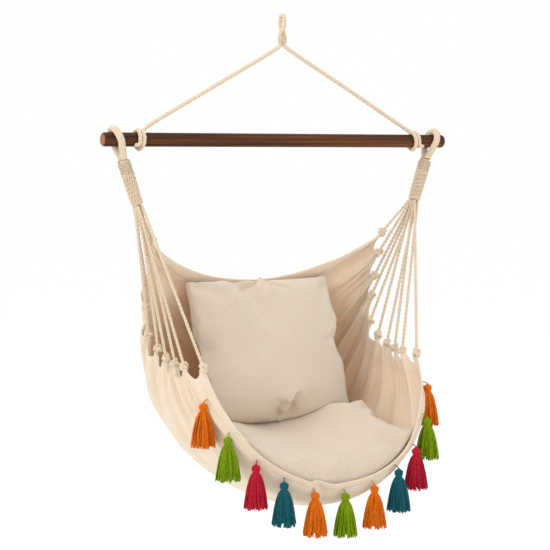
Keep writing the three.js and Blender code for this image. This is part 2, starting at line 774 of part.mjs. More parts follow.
addSpreaderBar();
addHangingRope();
addRopeWhipping();
for (const side of [-1, 1]) {
  addBarLoop(side);
  addNeckWrap(side);
  for (let i = 0; i < KNOT_SHARES.length; i += 1) addCord(side, i);
}
const seatCloth = addSeatCloth();
const seatCushion = makeSeatCushion();
const seatPieces = [addCover(seatCushion), addPad(seatCushion)];
layOn(seatPieces, seatCushion.up.clone().negate(), seatCloth);
const backCushion = makeBackCushion();
const backPieces = [addCover(backCushion), addPad(backCushion)];
const backward = new THREE.Vector3(0, 1, 0);
const awayFromCloth = new THREE.Vector3(0, -1, 1);
layOn(backPieces, down, seatPieces[0]);
layOn(backPieces, backward, seatCloth);
for (const lift of [BACK_CUSHION_CROWN / 10, BACK_CUSHION_CROWN / 128]) {
  move(backPieces, awayFromCloth, lift);
  layOn(backPieces, backward, seatCloth);
  layOn(backPieces, down, seatPieces[0]);
}
const outermost = TASSEL_PLACE_SHARES.length - 1;
for (let i = -outermost; i <= outermost; i += 1) {
  addTassel(Math.sign(i), Math.abs(i), i + outermost + 1);
}

export default chair;
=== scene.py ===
"""Hammock chair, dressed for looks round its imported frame. Metres, +Z up, -Y to the front."""

import logging
import math
from dataclasses import dataclass
from enum import Enum
from functools import partial

import bmesh
import bpy
import numpy as np
from bpy.types import Material, Mesh, Node, NodeSocket, NodeTree, Object
from mathutils import Matrix, Vector
from mathutils.bvhtree import BVHTree


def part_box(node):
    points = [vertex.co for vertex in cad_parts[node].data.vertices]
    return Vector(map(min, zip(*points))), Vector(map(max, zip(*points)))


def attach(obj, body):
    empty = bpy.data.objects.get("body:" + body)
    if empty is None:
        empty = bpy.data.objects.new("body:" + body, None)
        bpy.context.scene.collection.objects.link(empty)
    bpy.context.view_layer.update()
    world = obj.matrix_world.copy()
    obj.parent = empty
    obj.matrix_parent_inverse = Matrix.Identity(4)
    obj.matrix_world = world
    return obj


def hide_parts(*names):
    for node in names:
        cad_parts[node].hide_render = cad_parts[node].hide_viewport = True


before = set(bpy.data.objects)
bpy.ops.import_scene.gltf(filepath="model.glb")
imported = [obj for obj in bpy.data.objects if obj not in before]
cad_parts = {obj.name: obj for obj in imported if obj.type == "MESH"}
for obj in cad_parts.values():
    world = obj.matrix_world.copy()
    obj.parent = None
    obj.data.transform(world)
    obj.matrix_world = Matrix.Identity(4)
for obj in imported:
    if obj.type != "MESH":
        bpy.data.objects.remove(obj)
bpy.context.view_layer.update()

LOG = logging.getLogger("hammock_chair")
Array = np.ndarray
MM = 0.001
TURN = 2 * math.pi
BAR_Z = -310 * MM
BAR_RADIUS = 17 * MM
GAP = 0.3 * MM
SIDES = {"left": -1.0, "right": 1.0}
FLOOR_Z = -1.75
FLOOR_HALF_WIDTH = 40.0
LAMP_TARGET = Vector((0, 0, -0.8))
CLOTH_FRAMES = 30
CLOTH_SETTINGS = {
    "quality": 6,
    "mass": 0.2,
    "tension_stiffness": 25,
    "compression_stiffness": 25,
    "shear_stiffness": 12,
    "bending_stiffness": 0.12,
    "use_pressure": True,
    "uniform_pressure_force": 5.0,
}


def linear(code: str) -> tuple[float, float, float, float]:
    """Turns an sRGB hex colour to linear light.

    Args:
        code: the colour, such as "#dccbb2".

    Returns:
        Red, green, blue and alpha.
    """
    channels = [int(code[i : i + 2], 16) / 255 for i in (1, 3, 5)]
    red, green, blue = (
        c / 12.92 if c <= 0.04045 else ((c + 0.055) / 1.055) ** 2.4 for c in channels
    )
    return red, green, blue, 1.0


def add_node(tree: NodeTree, kind: str, links: dict | None = None, **settings) -> Node:
    """Adds a node to a tree.

    Args:
        tree: the node tree.
        kind: the node's type.
        links: its inputs by name or number, each a value or another node's output.
        settings: its own properties.

    Returns:
        The node.
    """
    made = tree.nodes.new(kind)
    for name, value in settings.items():
        setattr(made, name, value)
    for key, value in (links or {}).items():
        if isinstance(value, NodeSocket):
            tree.links.new(value, made.inputs[key])
        else:
            made.inputs[key].default_value = value
    return made


def output(
    tree: NodeTree, kind: str, links: dict | None = None, key: int | str = 0, **settings
) -> NodeSocket:
    """Adds a node and gives its output of that number or name."""
    return add_node(tree, kind, links, **settings).outputs[key]


def math_of(tree: NodeTree, operation: str, *values) -> NodeSocket:
    """Carries one kind of arithmetic through the values in turn, or does it to a single one."""
    total = values[0]
    for value in values[1:] or (0.0,):
        total = output(tree, "ShaderNodeMath", {0: total, 1: value}, operation=operation)
    return total


def smoothstep(value: Array, low: float, high: float) -> Array:
    """Rises smoothly from 0 at low to 1 at high."""
    share = np.clip((value - low) / (high - low), 0, 1)
    return share * share * (3 - 2 * share)


def unit(vectors: Array) -> Array:
    """Vectors scaled to length 1."""
    return vectors / np.maximum(np.linalg.norm(vectors, axis=-1, keepdims=True), 1e-12)


def catmull(points: Array, share: Array) -> Array:
    """Reads a centripetal Catmull-Rom curve, as the CAD source does.

    Args:
        points: the control points, one a row.
        share: places from 0 at the first point to 1 at the last.

    Returns:
        One point for each place.
    """
    points = np.asarray(points, float)
    padded = np.vstack([2 * points[0] - points[1], points, 2 * points[-1] - points[-2]])
    place = np.clip(share, 0, 1) * (len(points) - 1)
    index = np.minimum(place.astype(int), len(points) - 2)
    weight = (place - index)[:, None]
    p0, p1, p2, p3 = (padded[index + i] for i in range(4))
    pairs = ((p0, p1), (p1, p2), (p2, p3))
    d0, d1, d2 = (np.sqrt(np.linalg.norm(b - a, axis=1, keepdims=True)) for a, b in pairs)
    d1 = np.where(d1 < 1e-4, 1.0, d1)
    d0, d2 = np.where(d0 < 1e-4, d1, d0), np.where(d2 < 1e-4, d1, d2)
    t1 = ((p1 - p0) / d0 - (p2 - p0) / (d0 + d1) + (p2 - p1) / d1) * d1
    t2 = ((p2 - p1) / d1 - (p3 - p1) / (d1 + d2) + (p3 - p2) / d2) * d1
    c2 = -3 * p1 + 3 * p2 - 2 * t1 - t2
    c3 = 2 * p1 - 2 * p2 + t1 + t2
    return p1 + weight * (t1 + weight * (c2 + weight * c3))


def refined(points: Array, count: int) -> Array:
    """A smooth line of count points through the control points."""
    return catmull(np.asarray(points, float), np.linspace(0, 1, count))


def object_of(name: str, mesh: Mesh) -> Object:
    """Puts a mesh in the scene as an object of that name."""
    mesh.name = name
    made = bpy.data.objects.new(name, mesh)
    bpy.context.scene.collection.objects.link(made)
    return made


def mesh_of(
    name: str,
    points: Array,
    faces: list,
    finish: Material | None = None,
    uv: Array | None = None,
) -> Object:
    """Makes a smooth-shaded mesh object.

    Args:
        name: the object's name.
        points: its vertices.
        faces: lists of vertex numbers.
        finish: its material.
        uv: a place on the flat cloth for each vertex, in metres.

    Returns:
        The object.
    """
    mesh = bpy.data.meshes.new(name)
    mesh.from_pydata(points.tolist(), [], faces)
    mesh.polygons.foreach_set("use_smooth", [True] * len(mesh.polygons))
    if uv is not None:
        corners = np.empty(len(mesh.loops), int)
        mesh.loops.foreach_get("vertex_index", corners)
        places = uv[corners].astype(np.float32).ravel()
        mesh.uv_layers.new(name="weave").data.foreach_set("uv", places)
    if finish is not None:
        mesh.materials.append(finish)
    return object_of(name, mesh)


def grid_faces(rows: int, columns: int, start: int = 0, flip: bool = False) -> list[list[int]]:
    """The faces of a grid of points.

    Args:
        rows: points along.
        columns: points across.
        start: the number of the first point.
        flip: turns the faces round.

    Returns:
        Lists of four vertex numbers.
    """
    faces = []
    for j in range(rows - 1):
        for i in range(columns - 1):
            a = start + j * columns + i
            quad = [a, a + 1, a + columns + 1, a + columns]
            faces.append(quad[::-1] if flip else quad)
    return faces


def rim_of(rows: int, columns: int) -> list[int]:
    """The numbers of the points round a grid, in the order of its faces."""
    rim = list(range(columns - 1))
    rim += [j * columns + columns - 1 for j in range(rows - 1)]
    rim += [(rows - 1) * columns + i for i in range(columns - 1, 0, -1)]
    rim += [j * columns for j in range(rows - 1, 0, -1)]
    return rim


def grid_places(rows: int, columns: int, first: float = -1.0) -> tuple[Array, Array]:
    """Places on a grid, in the order of its faces.

    Args:
        rows: points along.
        columns: points across.
        first: where the first row lies. The last one lies at 1.

    Returns:
        Each point's place across, from -1 to 1, and its place along.
    """
    ends = np.linspace(first, 1, rows), np.linspace(-1, 1, columns)
    along, across = np.meshgrid(*ends, indexing="ij")
    return across.ravel(), along.ravel()


def grid_normals(grid: Array) -> Array:
    """The directions that the points of a grid face, from their neighbours."""
    down, over = np.gradient(grid, axis=0), np.gradient(grid, axis=1)
    return unit(np.cross(over, down))


def bag_faces(rows: int, columns: int, flip: bool = False) -> tuple[list[int], list[list[int]]]:
    """The faces of two grids that share the points of their rim.

    Args:
        rows: points along.
        columns: points across.
        flip: turns the faces round.

    Returns:
        The places off the rim, where each grid has its own point, and the faces.
    """
    rim = set(rim_of(rows, columns))
    inside = [i for i in range(rows * columns) if i not in rim]
    number = {i: rows * columns + k for k, i in enumerate(inside)}
    far = [[number.get(i, i) for i in quad] for quad in grid_faces(rows, columns, 0, not flip)]
    return inside, grid_faces(rows, columns, 0, flip) + far


def tube_faces(rings: int, sides: int) -> list[list[int]]:
    """The faces of a tube of rings of points, closed at both ends."""
    faces = [list(range(sides))[::-1], [(rings - 1) * sides + i for i in range(sides)]]
    for j in range(rings - 1):
        for i in range(sides):
            k = (i + 1) % sides
            faces.append([j * sides + i, j * sides + k, (j + 1) * sides + k, (j + 1) * sides + i])
    return faces


def lathe(profile: list[tuple[float, float]], sides: int) -> tuple[Array, list]:
    """A turned solid along +Z.

    Args:
        profile: pairs of height and radius, with the ends on the axis left out.
        sides: points round.

    Returns:
        Its points and faces.
    """
    angle = np.arange(sides) * TURN / sides
    rings = [
        np.column_stack([radius * np.cos(angle), radius * np.sin(angle), np.full(sides, height)])
        for height, radius in profile
    ]
    return np.vstack(rings), tube_faces(len(rings), sides)


def flattened(piece: Object) -> Mesh:
    """The mesh of an object with its modifiers applied. The object is removed."""
    result = piece.evaluated_get(bpy.context.evaluated_depsgraph_get())
    mesh = bpy.data.meshes.new_from_object(result)
    bpy.data.objects.remove(piece)
    return mesh


def joined(name: str, parts: list[Object]) -> Object:
    """Joins objects at the origin into one, which keeps the first one's materials."""
    made = bmesh.new()
    materials = list(parts[0].data.materials)
    for part in parts:
        made.from_mesh(part.data)
        bpy.data.objects.remove(part)
    mesh = bpy.data.meshes.new(name)
    made.to_mesh(mesh)
    made.free()
    for material in materials:
        mesh.materials.append(material)
    return object_of(name, mesh)


def centre_line_of(node: str) -> tuple[Array, Array]:
    """The two ends of a straight turned CAD node, on its axis, the lower one last."""
    corners = np.array([v.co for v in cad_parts[node].data.vertices], float)
    unique = np.unique(np.round(corners, 6), axis=0)
    middle = unique.mean(0)
    axis = np.linalg.svd(unique - middle, full_matrices=False)[2][0]
    axis = -axis if axis[2] > 0 else axis
    along = (unique - middle) @ axis
    return middle + axis * along.min(), middle + axis * along.max()


def path_length(line: Array) -> float:
    """The length of a line of points."""
    return float(np.linalg.norm(np.diff(line, axis=0), axis=1).sum())


def noise(
    tree: NodeTree, place: NodeSocket, scale: tuple, detail: float, roughness: float = 0.5
) -> NodeSocket:
    """Noise on coordinates that are scaled along each axis."""
    scaled = output(tree, "ShaderNodeMapping", {"Vector": place, "Scale": scale})
    links = {"Vector": scaled, "Scale": 1.0, "Detail": detail, "Roughness": roughness}
    return output(tree, "ShaderNodeTexNoise", links, "Fac")


def bump(
    tree: NodeTree, height: NodeSocket, strength: float, distance: float, **more
) -> NodeSocket:
    """The normal that a fine relief gives. more holds the normal below it, if any."""
    links = {"Height": height, "Strength": strength, "Distance": distance, **more}
    return output(tree, "ShaderNodeBump", links)


def ramp(tree: NodeTree, value: NodeSocket, *stops: tuple[float, str]) -> NodeSocket:
    """Colours a value by stops in rising order, each a position and a hex colour."""
    made = add_node(tree, "ShaderNodeValToRGB", {0: value})
    elements = made.color_ramp.elements
    elements[0].position, elements[1].position = stops[0][0], stops[-1][0]
    for position, _ in stops[1:-1]:
        elements.new(position)
    for element, (_, code) in zip(elements, stops):
        element.color = linear(code)
    return made.outputs[0]


def mixed(tree: NodeTree, share: NodeSocket, first, second) -> NodeSocket:
    """Mixes two colours."""
    return output(tree, "ShaderNodeMix", {0: share, 6: first, 7: second}, 2, data_type="RGBA")


@dataclass(frozen=True)
class Finish:
    """A finish of the chair. Each kind has its own shader settings and nodes."""

    name: str

    def settings(self) -> dict:
        """The finish's own constants of the shader."""
        raise NotImplementedError

    def look(self, tree: NodeTree) -> tuple[NodeSocket, NodeSocket]:
        """Adds the finish's nodes, and gives its colour and its normal."""
        raise NotImplementedError

    def build(self) -> Material:
        """Makes the material, soft in sheen and low in gloss unless its settings say otherwise."""
        material = bpy.data.materials.new(self.name)
        material.use_nodes = True
        tree = material.node_tree
        shader = tree.nodes["Principled BSDF"]
        constants = {"Sheen Roughness": 0.4, "Specular IOR Level": 0.12, **self.settings()}
        for name, value in constants.items():
            shader.inputs[name].default_value = value
        for name, socket in zip(("Base Color", "Normal"), self.look(tree)):
            tree.links.new(socket, shader.inputs[name])
        return material


@dataclass(frozen=True)
class StainedWood(Finish):
    """Walnut-stained hardwood dowel, turned and oiled: long dark grain with a low satin shine."""

    dark: str
    middle: str
    light: str
    end_face: str
    grain: float
    half_length: float

    def settings(self) -> dict:
        """A low satin shine, and no loose fibres."""
        return {"Roughness": 0.55, "Sheen Weight": 0.0, "Specular IOR Level": 0.16}

    def look(self, tree: NodeTree) -> tuple[NodeSocket, NodeSocket]:
        """Draws the grain out along the dowel, and bares the wood at its ends."""
        place = output(tree, "ShaderNodeTexCoord", key="Object")
        fine = 0.6 / self.grain
        grain = noise(tree, place, (fine / 60, fine, fine), 6.0, 0.65)
        stained = ramp(tree, grain, (0.34, self.dark), (0.52, self.middle), (0.72, self.light))
        reach = math_of(tree, "ABSOLUTE", output(tree, "ShaderNodeSeparateXYZ", {0: place}, "X"))
        ends = {0: reach, 1: self.half_length - 2.5 * MM, 2: self.half_length - 0.5 * MM}
        at_end = output(tree, "ShaderNodeMapRange", ends)
        colour = mixed(tree, at_end, stained, linear(self.end_face))
        return colour, bump(tree, grain, 0.3, 0.2 * MM)


@dataclass(frozen=True)
class CottonFibre(Finish):
    """Soft-spun cotton, natural or dyed: matt, with a fine fibre grain and a faint bloom."""

    colour: str
    shade: str
    fibre: float
    stretch: float = 1.0
    sheen: float = 0.25

    def settings(self) -> dict:
        """Matt, with a bloom in the fibre's own colour."""
        return {"Roughness": 0.92, "Sheen Weight": self.sheen, "Sheen Tint": linear(self.colour)}

    def look(self, tree: NodeTree) -> tuple[NodeSocket, NodeSocket]:
        """Adds the fibre grain, which stretch draws out along Z."""
        place = output(tree, "ShaderNodeTexCoord", key="Object")
        fine = 1 / self.fibre
        fibre = noise(tree, place, (fine, fine, fine / self.stretch), 3.0)
        colour = ramp(tree, fibre, (0.3, self.shade), (0.6, self.colour))
        return colour, bump(tree, fibre, 0.5, self.fibre / 3)


@dataclass(frozen=True)
class WovenCanvas(Finish):
    """Unbleached cotton canvas, plain-woven: even threads with a few thick ones, matt, and thin
    enough for some light to come through warm."""

    colour: str
    shade: str
    thread: float
    mottle: float

    def settings(self) -> dict:
        """Matt, and lit through in a warm tone."""
        return {
            "Roughness": 0.9,
            "Sheen Weight": 0.08,
            "Sheen Tint": linear(self.colour),
            "Subsurface Weight": 0.6,
            "Subsurface Radius": (1.0, 0.6, 0.32),
            "Subsurface Scale": 5 * MM,
        }

    def look(self, tree: NodeTree) -> tuple[NodeSocket, NodeSocket]:
        """Adds threads, slubs and a soft mottle on the piece's own flat map, in metres."""
        out = partial(output, tree)
        flat = out("ShaderNodeUVMap", uv_map="weave")
        scaled = out("ShaderNodeMapping", {"Vector": flat, "Scale": (0.5 / self.thread,) * 3})
        wave = {"Vector": scaled, "Scale": 1 / math.pi, "Distortion": 0.6, "Detail": 1.0}
        threads = (out("ShaderNodeTexWave", wave, "Fac", bands_direction=axis) for axis in "XY")
        weave = math_of(tree, "ADD", *threads)
        slubs = (noise(tree, flat, scale, 2.0) for scale in ((35, 700, 1), (700, 35, 1)))
        slub = math_of(tree, "ADD", *slubs)
        cloud = noise(tree, flat, (1 / self.mottle,) * 3, 3.0)
        tone = out("ShaderNodeMapRange", {0: math_of(tree, "ADD", cloud, slub), 1: 1.1, 2: 1.9})
        colour = mixed(tree, tone, linear(self.shade), linear(self.colour))
        rough = bump(tree, slub, 0.2, 0.3 * MM)
        return colour, bump(tree, weave, 0.5, self.thread / 4, Normal=rough)


class Dye(Enum):
    """The four yarn colours, each with its shaded tone."""

    LIME = ("lime", "#86a414", "#556c08")
    ORANGE = ("orange", "#e8791a", "#b4500a")
    TEAL = ("teal", "#22666f", "#104450")
    RASPBERRY = ("raspberry", "#c8263c", "#8a1326")


def new_tree(
    name: str, sizes: tuple[str, ...], counts: tuple[str, ...] = ()
) -> tuple[NodeTree, dict]:
    """Starts a geometry tree, which also takes lines and a material.

    Args:
        name: the tree's name.
        sizes: the names of its sizes.
        counts: the names of its whole numbers.

    Returns:
        The tree and its input sockets by name.
    """
    tree = bpy.data.node_groups.new(name, "GeometryNodeTree")
    tree.interface.new_socket("Geometry", in_out="OUTPUT", socket_type="NodeSocketGeometry")
    kinds = {"Geometry": "Geometry", **dict.fromkeys(sizes, "Float")}
    kinds |= {**dict.fromkeys(counts, "Int"), "Material": "Material"}
    for label, kind in kinds.items():
        tree.interface.new_socket(label, in_out="INPUT", socket_type=f"NodeSocket{kind}")
    given = add_node(tree, "NodeGroupInput").outputs
    return tree, {label: given[label] for label in kinds}


def end_tree(tree: NodeTree, shape: NodeSocket, material: NodeSocket) -> None:
    """Smooths, realizes and dresses a tree's result."""
    smooth = output(tree, "GeometryNodeSetShadeSmooth", {0: shape})
    solid = output(tree, "GeometryNodeRealizeInstances", {0: smooth})
    links = {"Geometry": solid, "Material": material}
    add_node(tree, "NodeGroupOutput", {0: output(tree, "GeometryNodeSetMaterial", links)})


def even_curve(tree: NodeTree, lines: NodeSocket, length: NodeSocket) -> NodeSocket:
    """The lines of a mesh as curves, with a point at every length."""
    links = {"Curve": output(tree, "GeometryNodeMeshToCurve", {0: lines}), "Length": length}
    return output(tree, "GeometryNodeResampleCurve", links, mode="LENGTH")


def copied(tree: NodeTree, curve: NodeSocket, count: NodeSocket) -> tuple[NodeSocket, NodeSocket]:
    """Copies of a curve, and the number of each copy."""
    links = {"Geometry": curve, "Amount": count}
    made = add_node(tree, "GeometryNodeDuplicateElements", links, domain="SPLINE")
    return made.outputs["Geometry"], made.outputs["Duplicate Index"]


def swept(
    tree: NodeTree, curve: NodeSocket, sides: NodeSocket | int, radius: NodeSocket
) -> NodeSocket:
    """A round tube along each curve, closed at both ends."""
    circle = {"Resolution": sides, "Radius": radius}
    ring = output(tree, "GeometryNodeCurvePrimitiveCircle", circle)
    links = {"Curve": curve, "Profile Curve": ring, "Fill Caps": True}
    return output(tree, "GeometryNodeCurveToMesh", links)


def laid_cord_tree() -> NodeTree:
    """Strands laid round every line of the mesh that it is given."""
    tree, given = new_tree(
        "laid_cord",
        ("Strand Radius", "Strand Offset", "Turns Per Metre", "Step", "Start Size", "Taper Length"),
        ("Strands", "Sides"),
    )
    out, calc = partial(output, tree), partial(math_of, tree)
    even = even_curve(tree, given["Geometry"], given["Step"])
    copies, number = copied(tree, even, given["Strands"])
    run = out("GeometryNodeSplineParameter", key="Length")
    turns = calc("MULTIPLY", run, given["Turns Per Metre"])
    angle = calc("MULTIPLY", calc("ADD", turns, calc("DIVIDE", number, given["Strands"])), TURN)
    growth = {0: run, 1: 0.0, 2: given["Taper Length"], 3: given["Start Size"]}
    swell = out("ShaderNodeMapRange", growth)
    reach = calc("MULTIPLY", given["Strand Offset"], swell)
    normal, tangent = out("GeometryNodeInputNormal"), out("GeometryNodeInputTangent")
    across = out("ShaderNodeVectorMath", {0: tangent, 1: normal}, operation="CROSS_PRODUCT")
    parts = []
    for axis, operation in ((normal, "COSINE"), (across, "SINE")):
        size = calc("MULTIPLY", calc(operation, angle), reach)
        parts.append(out("ShaderNodeVectorMath", {0: axis, "Scale": size}, operation="SCALE"))
    offset = out("ShaderNodeVectorMath", dict(enumerate(parts)), operation="ADD")
    laid = out("GeometryNodeSetPosition", {"Geometry": copies, "Offset": offset})
    laid = out("GeometryNodeSetCurveRadius", {"Curve": laid, "Radius": swell})
    end_tree(tree, swept(tree, laid, given["Sides"], given["Strand Radius"]), given["Material"])
    return tree


def tassel_tree() -> NodeTree:
    """A bundle of yarn strands that hangs along -Z from the origin, tied into head and skirt."""
    sizes, counts = ("Length", "Skirt Radius", "Yarn Radius"), ("Strands", "Seed")
    tree, given = new_tree("yarn_tassel", sizes, counts)
    out, calc = partial(output, tree), partial(math_of, tree)
    line = out("GeometryNodeCurvePrimitiveLine", {"Start": (0, 0, 0), "End": (0, 0, -1)})
    even = out("GeometryNodeResampleCurve", {"Curve": line, "Count": 17}, mode="COUNT")
    copies, strand = copied(tree, even, given["Strands"])

    def drawn(low: float, high: float, step: int) -> NodeSocket:
        """A random number for each strand."""
        links = {2: low, 3: high, "ID": strand, "Seed": calc("ADD", given["Seed"], step)}
        return out("FunctionNodeRandomValue", links, 1, data_type="FLOAT")

    factor = out("GeometryNodeSplineParameter", key="Factor")
    profile = add_node(tree, "ShaderNodeFloatCurve", {1: factor})
    points = profile.mapping.curves[0].points
    shape = (
        *((0.0, 0.03), (0.025, 0.2), (0.06, 0.325), (0.1, 0.35), (0.14, 0.29), (0.176, 0.215)),
        *((0.23, 0.36), (0.35, 0.55), (0.55, 0.74), (0.8, 0.9), (1.0, 1.0)),
    )
    points[0].location, points[1].location = shape[0], shape[-1]
    for point in shape[1:-1]:
        points.new(*point)
    profile.mapping.update()
    deep = calc("POWER", drawn(0.02, 1.0, 1), 0.33)
    radius = calc("MULTIPLY", profile.outputs[0], given["Skirt Radius"], deep)
    around = drawn(0.0, TURN, 2)
    # Strands lean into a few locks towards their ends, and each one waves a little.
    lean = calc("MULTIPLY", calc("SINE", calc("MULTIPLY", around, 7.0)), 0.13, factor)
    wave = calc("SINE", calc("ADD", calc("MULTIPLY", factor, 9.0), drawn(0, TURN, 3)))
    angle = calc("ADD", calc("SUBTRACT", around, lean), calc("MULTIPLY", wave, 0.07, factor))
    reach = calc("MULTIPLY", factor, given["Length"], drawn(-1.0, -0.93, 4))
    x, y = (calc("MULTIPLY", calc(way, angle), radius) for way in ("COSINE", "SINE"))
    place = out("ShaderNodeCombineXYZ", {0: x, 1: y, 2: reach})
    laid = out("GeometryNodeSetPosition", {"Geometry": copies, "Position": place})
    end_tree(tree, swept(tree, laid, 4, given["Yarn Radius"]), given["Material"])
    return tree


def stitch_tree() -> NodeTree:
    """A row of thread stitches along every line of the mesh that it is given."""
    tree, given = new_tree("stitch_row", ("Pitch", "Length", "Thickness"))
    out = partial(output, tree)
    even = even_curve(tree, given["Geometry"], given["Pitch"])
    tangent = out("GeometryNodeInputTangent")
    turned = out("FunctionNodeAlignRotationToVector", {"Vector": tangent}, axis="Z")
    bead = out("GeometryNodeMeshUVSphere", {"Segments": 6, "Rings": 4, "Radius": 0.5})
    thick = given["Thickness"]
    size = out("ShaderNodeCombineXYZ", {0: thick, 1: thick, 2: given["Length"]})
    links = {"Points": even, "Instance": bead, "Rotation": turned, "Scale": size}
    end_tree(tree, out("GeometryNodeInstanceOnPoints", links), given["Material"])
    return tree


def grown(name: str, tree: NodeTree, lines: list[Array], values: dict) -> Object:
    """Runs a tree and keeps its result as a plain mesh.

    Args:
        name: the piece's name.
        tree: the geometry tree.
        lines: the lines that it follows, each a row of points.
        values: its named inputs.

    Returns:
        The object, with no modifier.
    """
    points, edges = [], []
    for line in lines:
        start = len(points)
        points += np.asarray(line).tolist()
        edges += [(i, i + 1) for i in range(start, len(points) - 1)]
    mesh = bpy.data.meshes.new(name + "_line")
    mesh.from_pydata(points, edges, [])
    carrier = object_of(name + "_line", mesh)
    modifier = carrier.modifiers.new("shape", "NODES")
    modifier.node_group = tree
    for item in tree.interface.items_tree:
        if item.in_out == "INPUT" and item.name in values:
            modifier[item.identifier] = values[item.name]
    return object_of(name, flattened(carrier))


@dataclass
class CordMaker:
    """Makes laid cords from their lines."""

    tree: NodeTree

    def cord(
        self,
        name: str,
        lines: list[Array],
        diameter: float,
        finish: Material,
        strands: int = 3,
        lay: float = 3.2,
        sides: int = 7,
        step: float = 0.45,
        sunk: float = 0.0,
        start_size: float = 1.0,
        taper: float = 0.1,
    ) -> Object:
        """Lays strands round lines.

        Args:
            name: the piece's name.
            lines: the centre lines.
            diameter: over all the strands.
            finish: the material.
            strands: how many; 1 gives a plain thread.
            lay: length of one turn, in diameters.
            sides: faces round a strand.
            step: length of a strand's segments, in diameters.
            sunk: how far the strands press into each other, from 0 to 1.
            start_size: thickness at the start of a line, as a share.
            taper: length over which it grows to the full thickness, in metres.

        Returns:
            The piece.
        """
        radius = diameter / 2
        if strands > 1:
            pinch = math.sin(math.pi / strands)
            radius *= pinch / (1 + pinch)
        radius += (diameter / 2 - radius) * sunk
        values = {
            "Strand Radius": radius,
            "Strand Offset": diameter / 2 - radius,
            "Turns Per Metre": 1 / (lay * diameter),
            "Strands": strands,
            "Step": step * diameter,
            "Sides": sides,
            "Start Size": start_size,
            "Taper Length": taper,
            "Material": finish,
        }
        return grown(name, self.tree, lines, values)


@dataclass
class Hanger:
    """Spreader bar, hanging rope and whipping. touches are the half turns round the bar, from its
    top, at which the rope meets it and leaves it."""

    wood: Material
    rope: Material
    cords: CordMaker
    half_bar: float = 500 * MM
    end_round: float = 7 * MM
    rope_diameter: float = 10 * MM
    eye_width: float = 10 * MM
    eye_length: float = 18 * MM
    twist_length: float = 24 * MM
    neck_length: float = 24 * MM
    hitch_x: float = 396 * MM
    tail: float = 12 * MM
    whipping_thread: float = 1.5 * MM
    bar_sides: int = 64
    end_steps: int = 8
    touches: tuple[float, float] = (1 / 6, 2.65)

    def build(self) -> None:
        """Builds the three pieces."""
        self.bar()
        self.hanging_rope()
        self.whipping()

    def bar(self) -> None:
        """Turns the bar with its rounded ends."""
        ends = []
        for i in range(self.end_steps + 1):
            a = math.pi / 2 * i / self.end_steps
            height = self.half_bar - self.end_round * (1 - math.cos(a))
            ends.append((height, BAR_RADIUS - self.end_round * (1 - math.sin(a))))
        middle = [(share * self.half_bar, BAR_RADIUS) for share in (-0.6, 0, 0.6)]
        profile = [(-h, r) for h, r in ends] + middle + ends[::-1]
        points, faces = lathe(profile, self.bar_sides)
        placed = np.column_stack([points[:, 2], points[:, 1], BAR_Z - points[:, 0]])
        piece = mesh_of("bar_wood", placed, faces, self.wood)
        keep(piece, "hanger", "wood", "spreader_bar")

    def half_route(self, side: float) -> list[list[float]]:
        """Half of the rope's route, from the eye to the tail."""
        radius = self.rope_diameter / 2
        gap = radius + GAP
        eye = self.eye_width / 2 + radius
        twist_top = -self.eye_width / 2 - self.eye_length
        eye_steps, twist_steps, wrap_steps = 4, 5, 15
        points = []
        for i in range(1, eye_steps + 1):
            a = math.pi / 2 * i / eye_steps
            points.append([0, side * eye * math.sin(a), eye * math.cos(a) - self.eye_width / 2])
        for i in range(twist_steps + 1):
            share = i / twist_steps
            eased = share * share * (3 - 2 * share)
            r = eye + (gap - eye) * eased
            a = math.pi / 2 * (1 - eased)
            across = [side * r * math.cos(a), side * r * math.sin(a)]
            points.append([*across, twist_top - share * self.twist_length])
        bottom = twist_top - self.twist_length - self.neck_length
        first, last = self.touches
        step = (last - first) * math.pi / wrap_steps
        wrap = radius + (BAR_RADIUS + GAP) / math.cos(step / 2)
        points.append([side * gap, 0, bottom])
        top = [side * (gap + radius), 0, bottom - radius]
        foot = [side * (self.hitch_x - 2 * radius), -radius / 2, BAR_Z + wrap + radius]
        points += [top, [(a + b) / 2 for a, b in zip(top, foot)], foot]
        for i in range(wrap_steps + 1):
            a = first * math.pi + i * step
            x = side * (self.hitch_x + (self.rope_diameter + 2 * GAP) * a / TURN)
            points.append([x, -wrap * math.sin(a), BAR_Z + wrap * math.cos(a)])
        x, y, z = points[-1]
        bend = self.tail / 2
        points.append([x + side * bend, y - GAP, z - bend / 2])
        points.append([x + side * self.tail, y - 2 * GAP, z - bend / 2])
        return points

    def hanging_rope(self) -> None:
        """Lays the rope along its whole route, from one tail to the other."""
        top = [0, 0, self.rope_diameter / 2]
        route = [*self.half_route(-1.0)[::-1], top, *self.half_route(1.0)]
        line = refined(route, 900)
        piece = self.cords.cord(
            "rope_laid", [line], self.rope_diameter * 1.08, self.rope, sides=9, lay=3.6, sunk=0.3
        )
        keep(piece, "hanger", "rope", "hanging_rope")

    def whipping(self) -> None:
        """Winds thread round the two strands of the neck."""
        radius = self.rope_diameter / 2
        gap = radius + GAP
        top = -self.eye_width / 2 - self.eye_length - self.twist_length
        depth = self.neck_length - radius
        half = self.whipping_thread / 2
        turns = int(depth / (self.whipping_thread * 1.03))
        angle = np.linspace(0, TURN * turns, turns * 28)
        shift = np.clip(np.cos(angle) * 4, -1, 1) * gap
        height = top - half - (depth - 2 * half) * angle / angle[-1]
        around = (gap + half) * np.array([np.cos(angle), np.sin(angle)])
        line = np.column_stack([shift + around[0], around[1], height])
        plain = {"strands": 1, "sides": 6, "step": 1.2}
        size = self.whipping_thread
        thread = self.cords.cord("whipping_thread", [line], size, self.rope, **plain)
        keep(thread, "hanger", "rope", "rope_whipping")


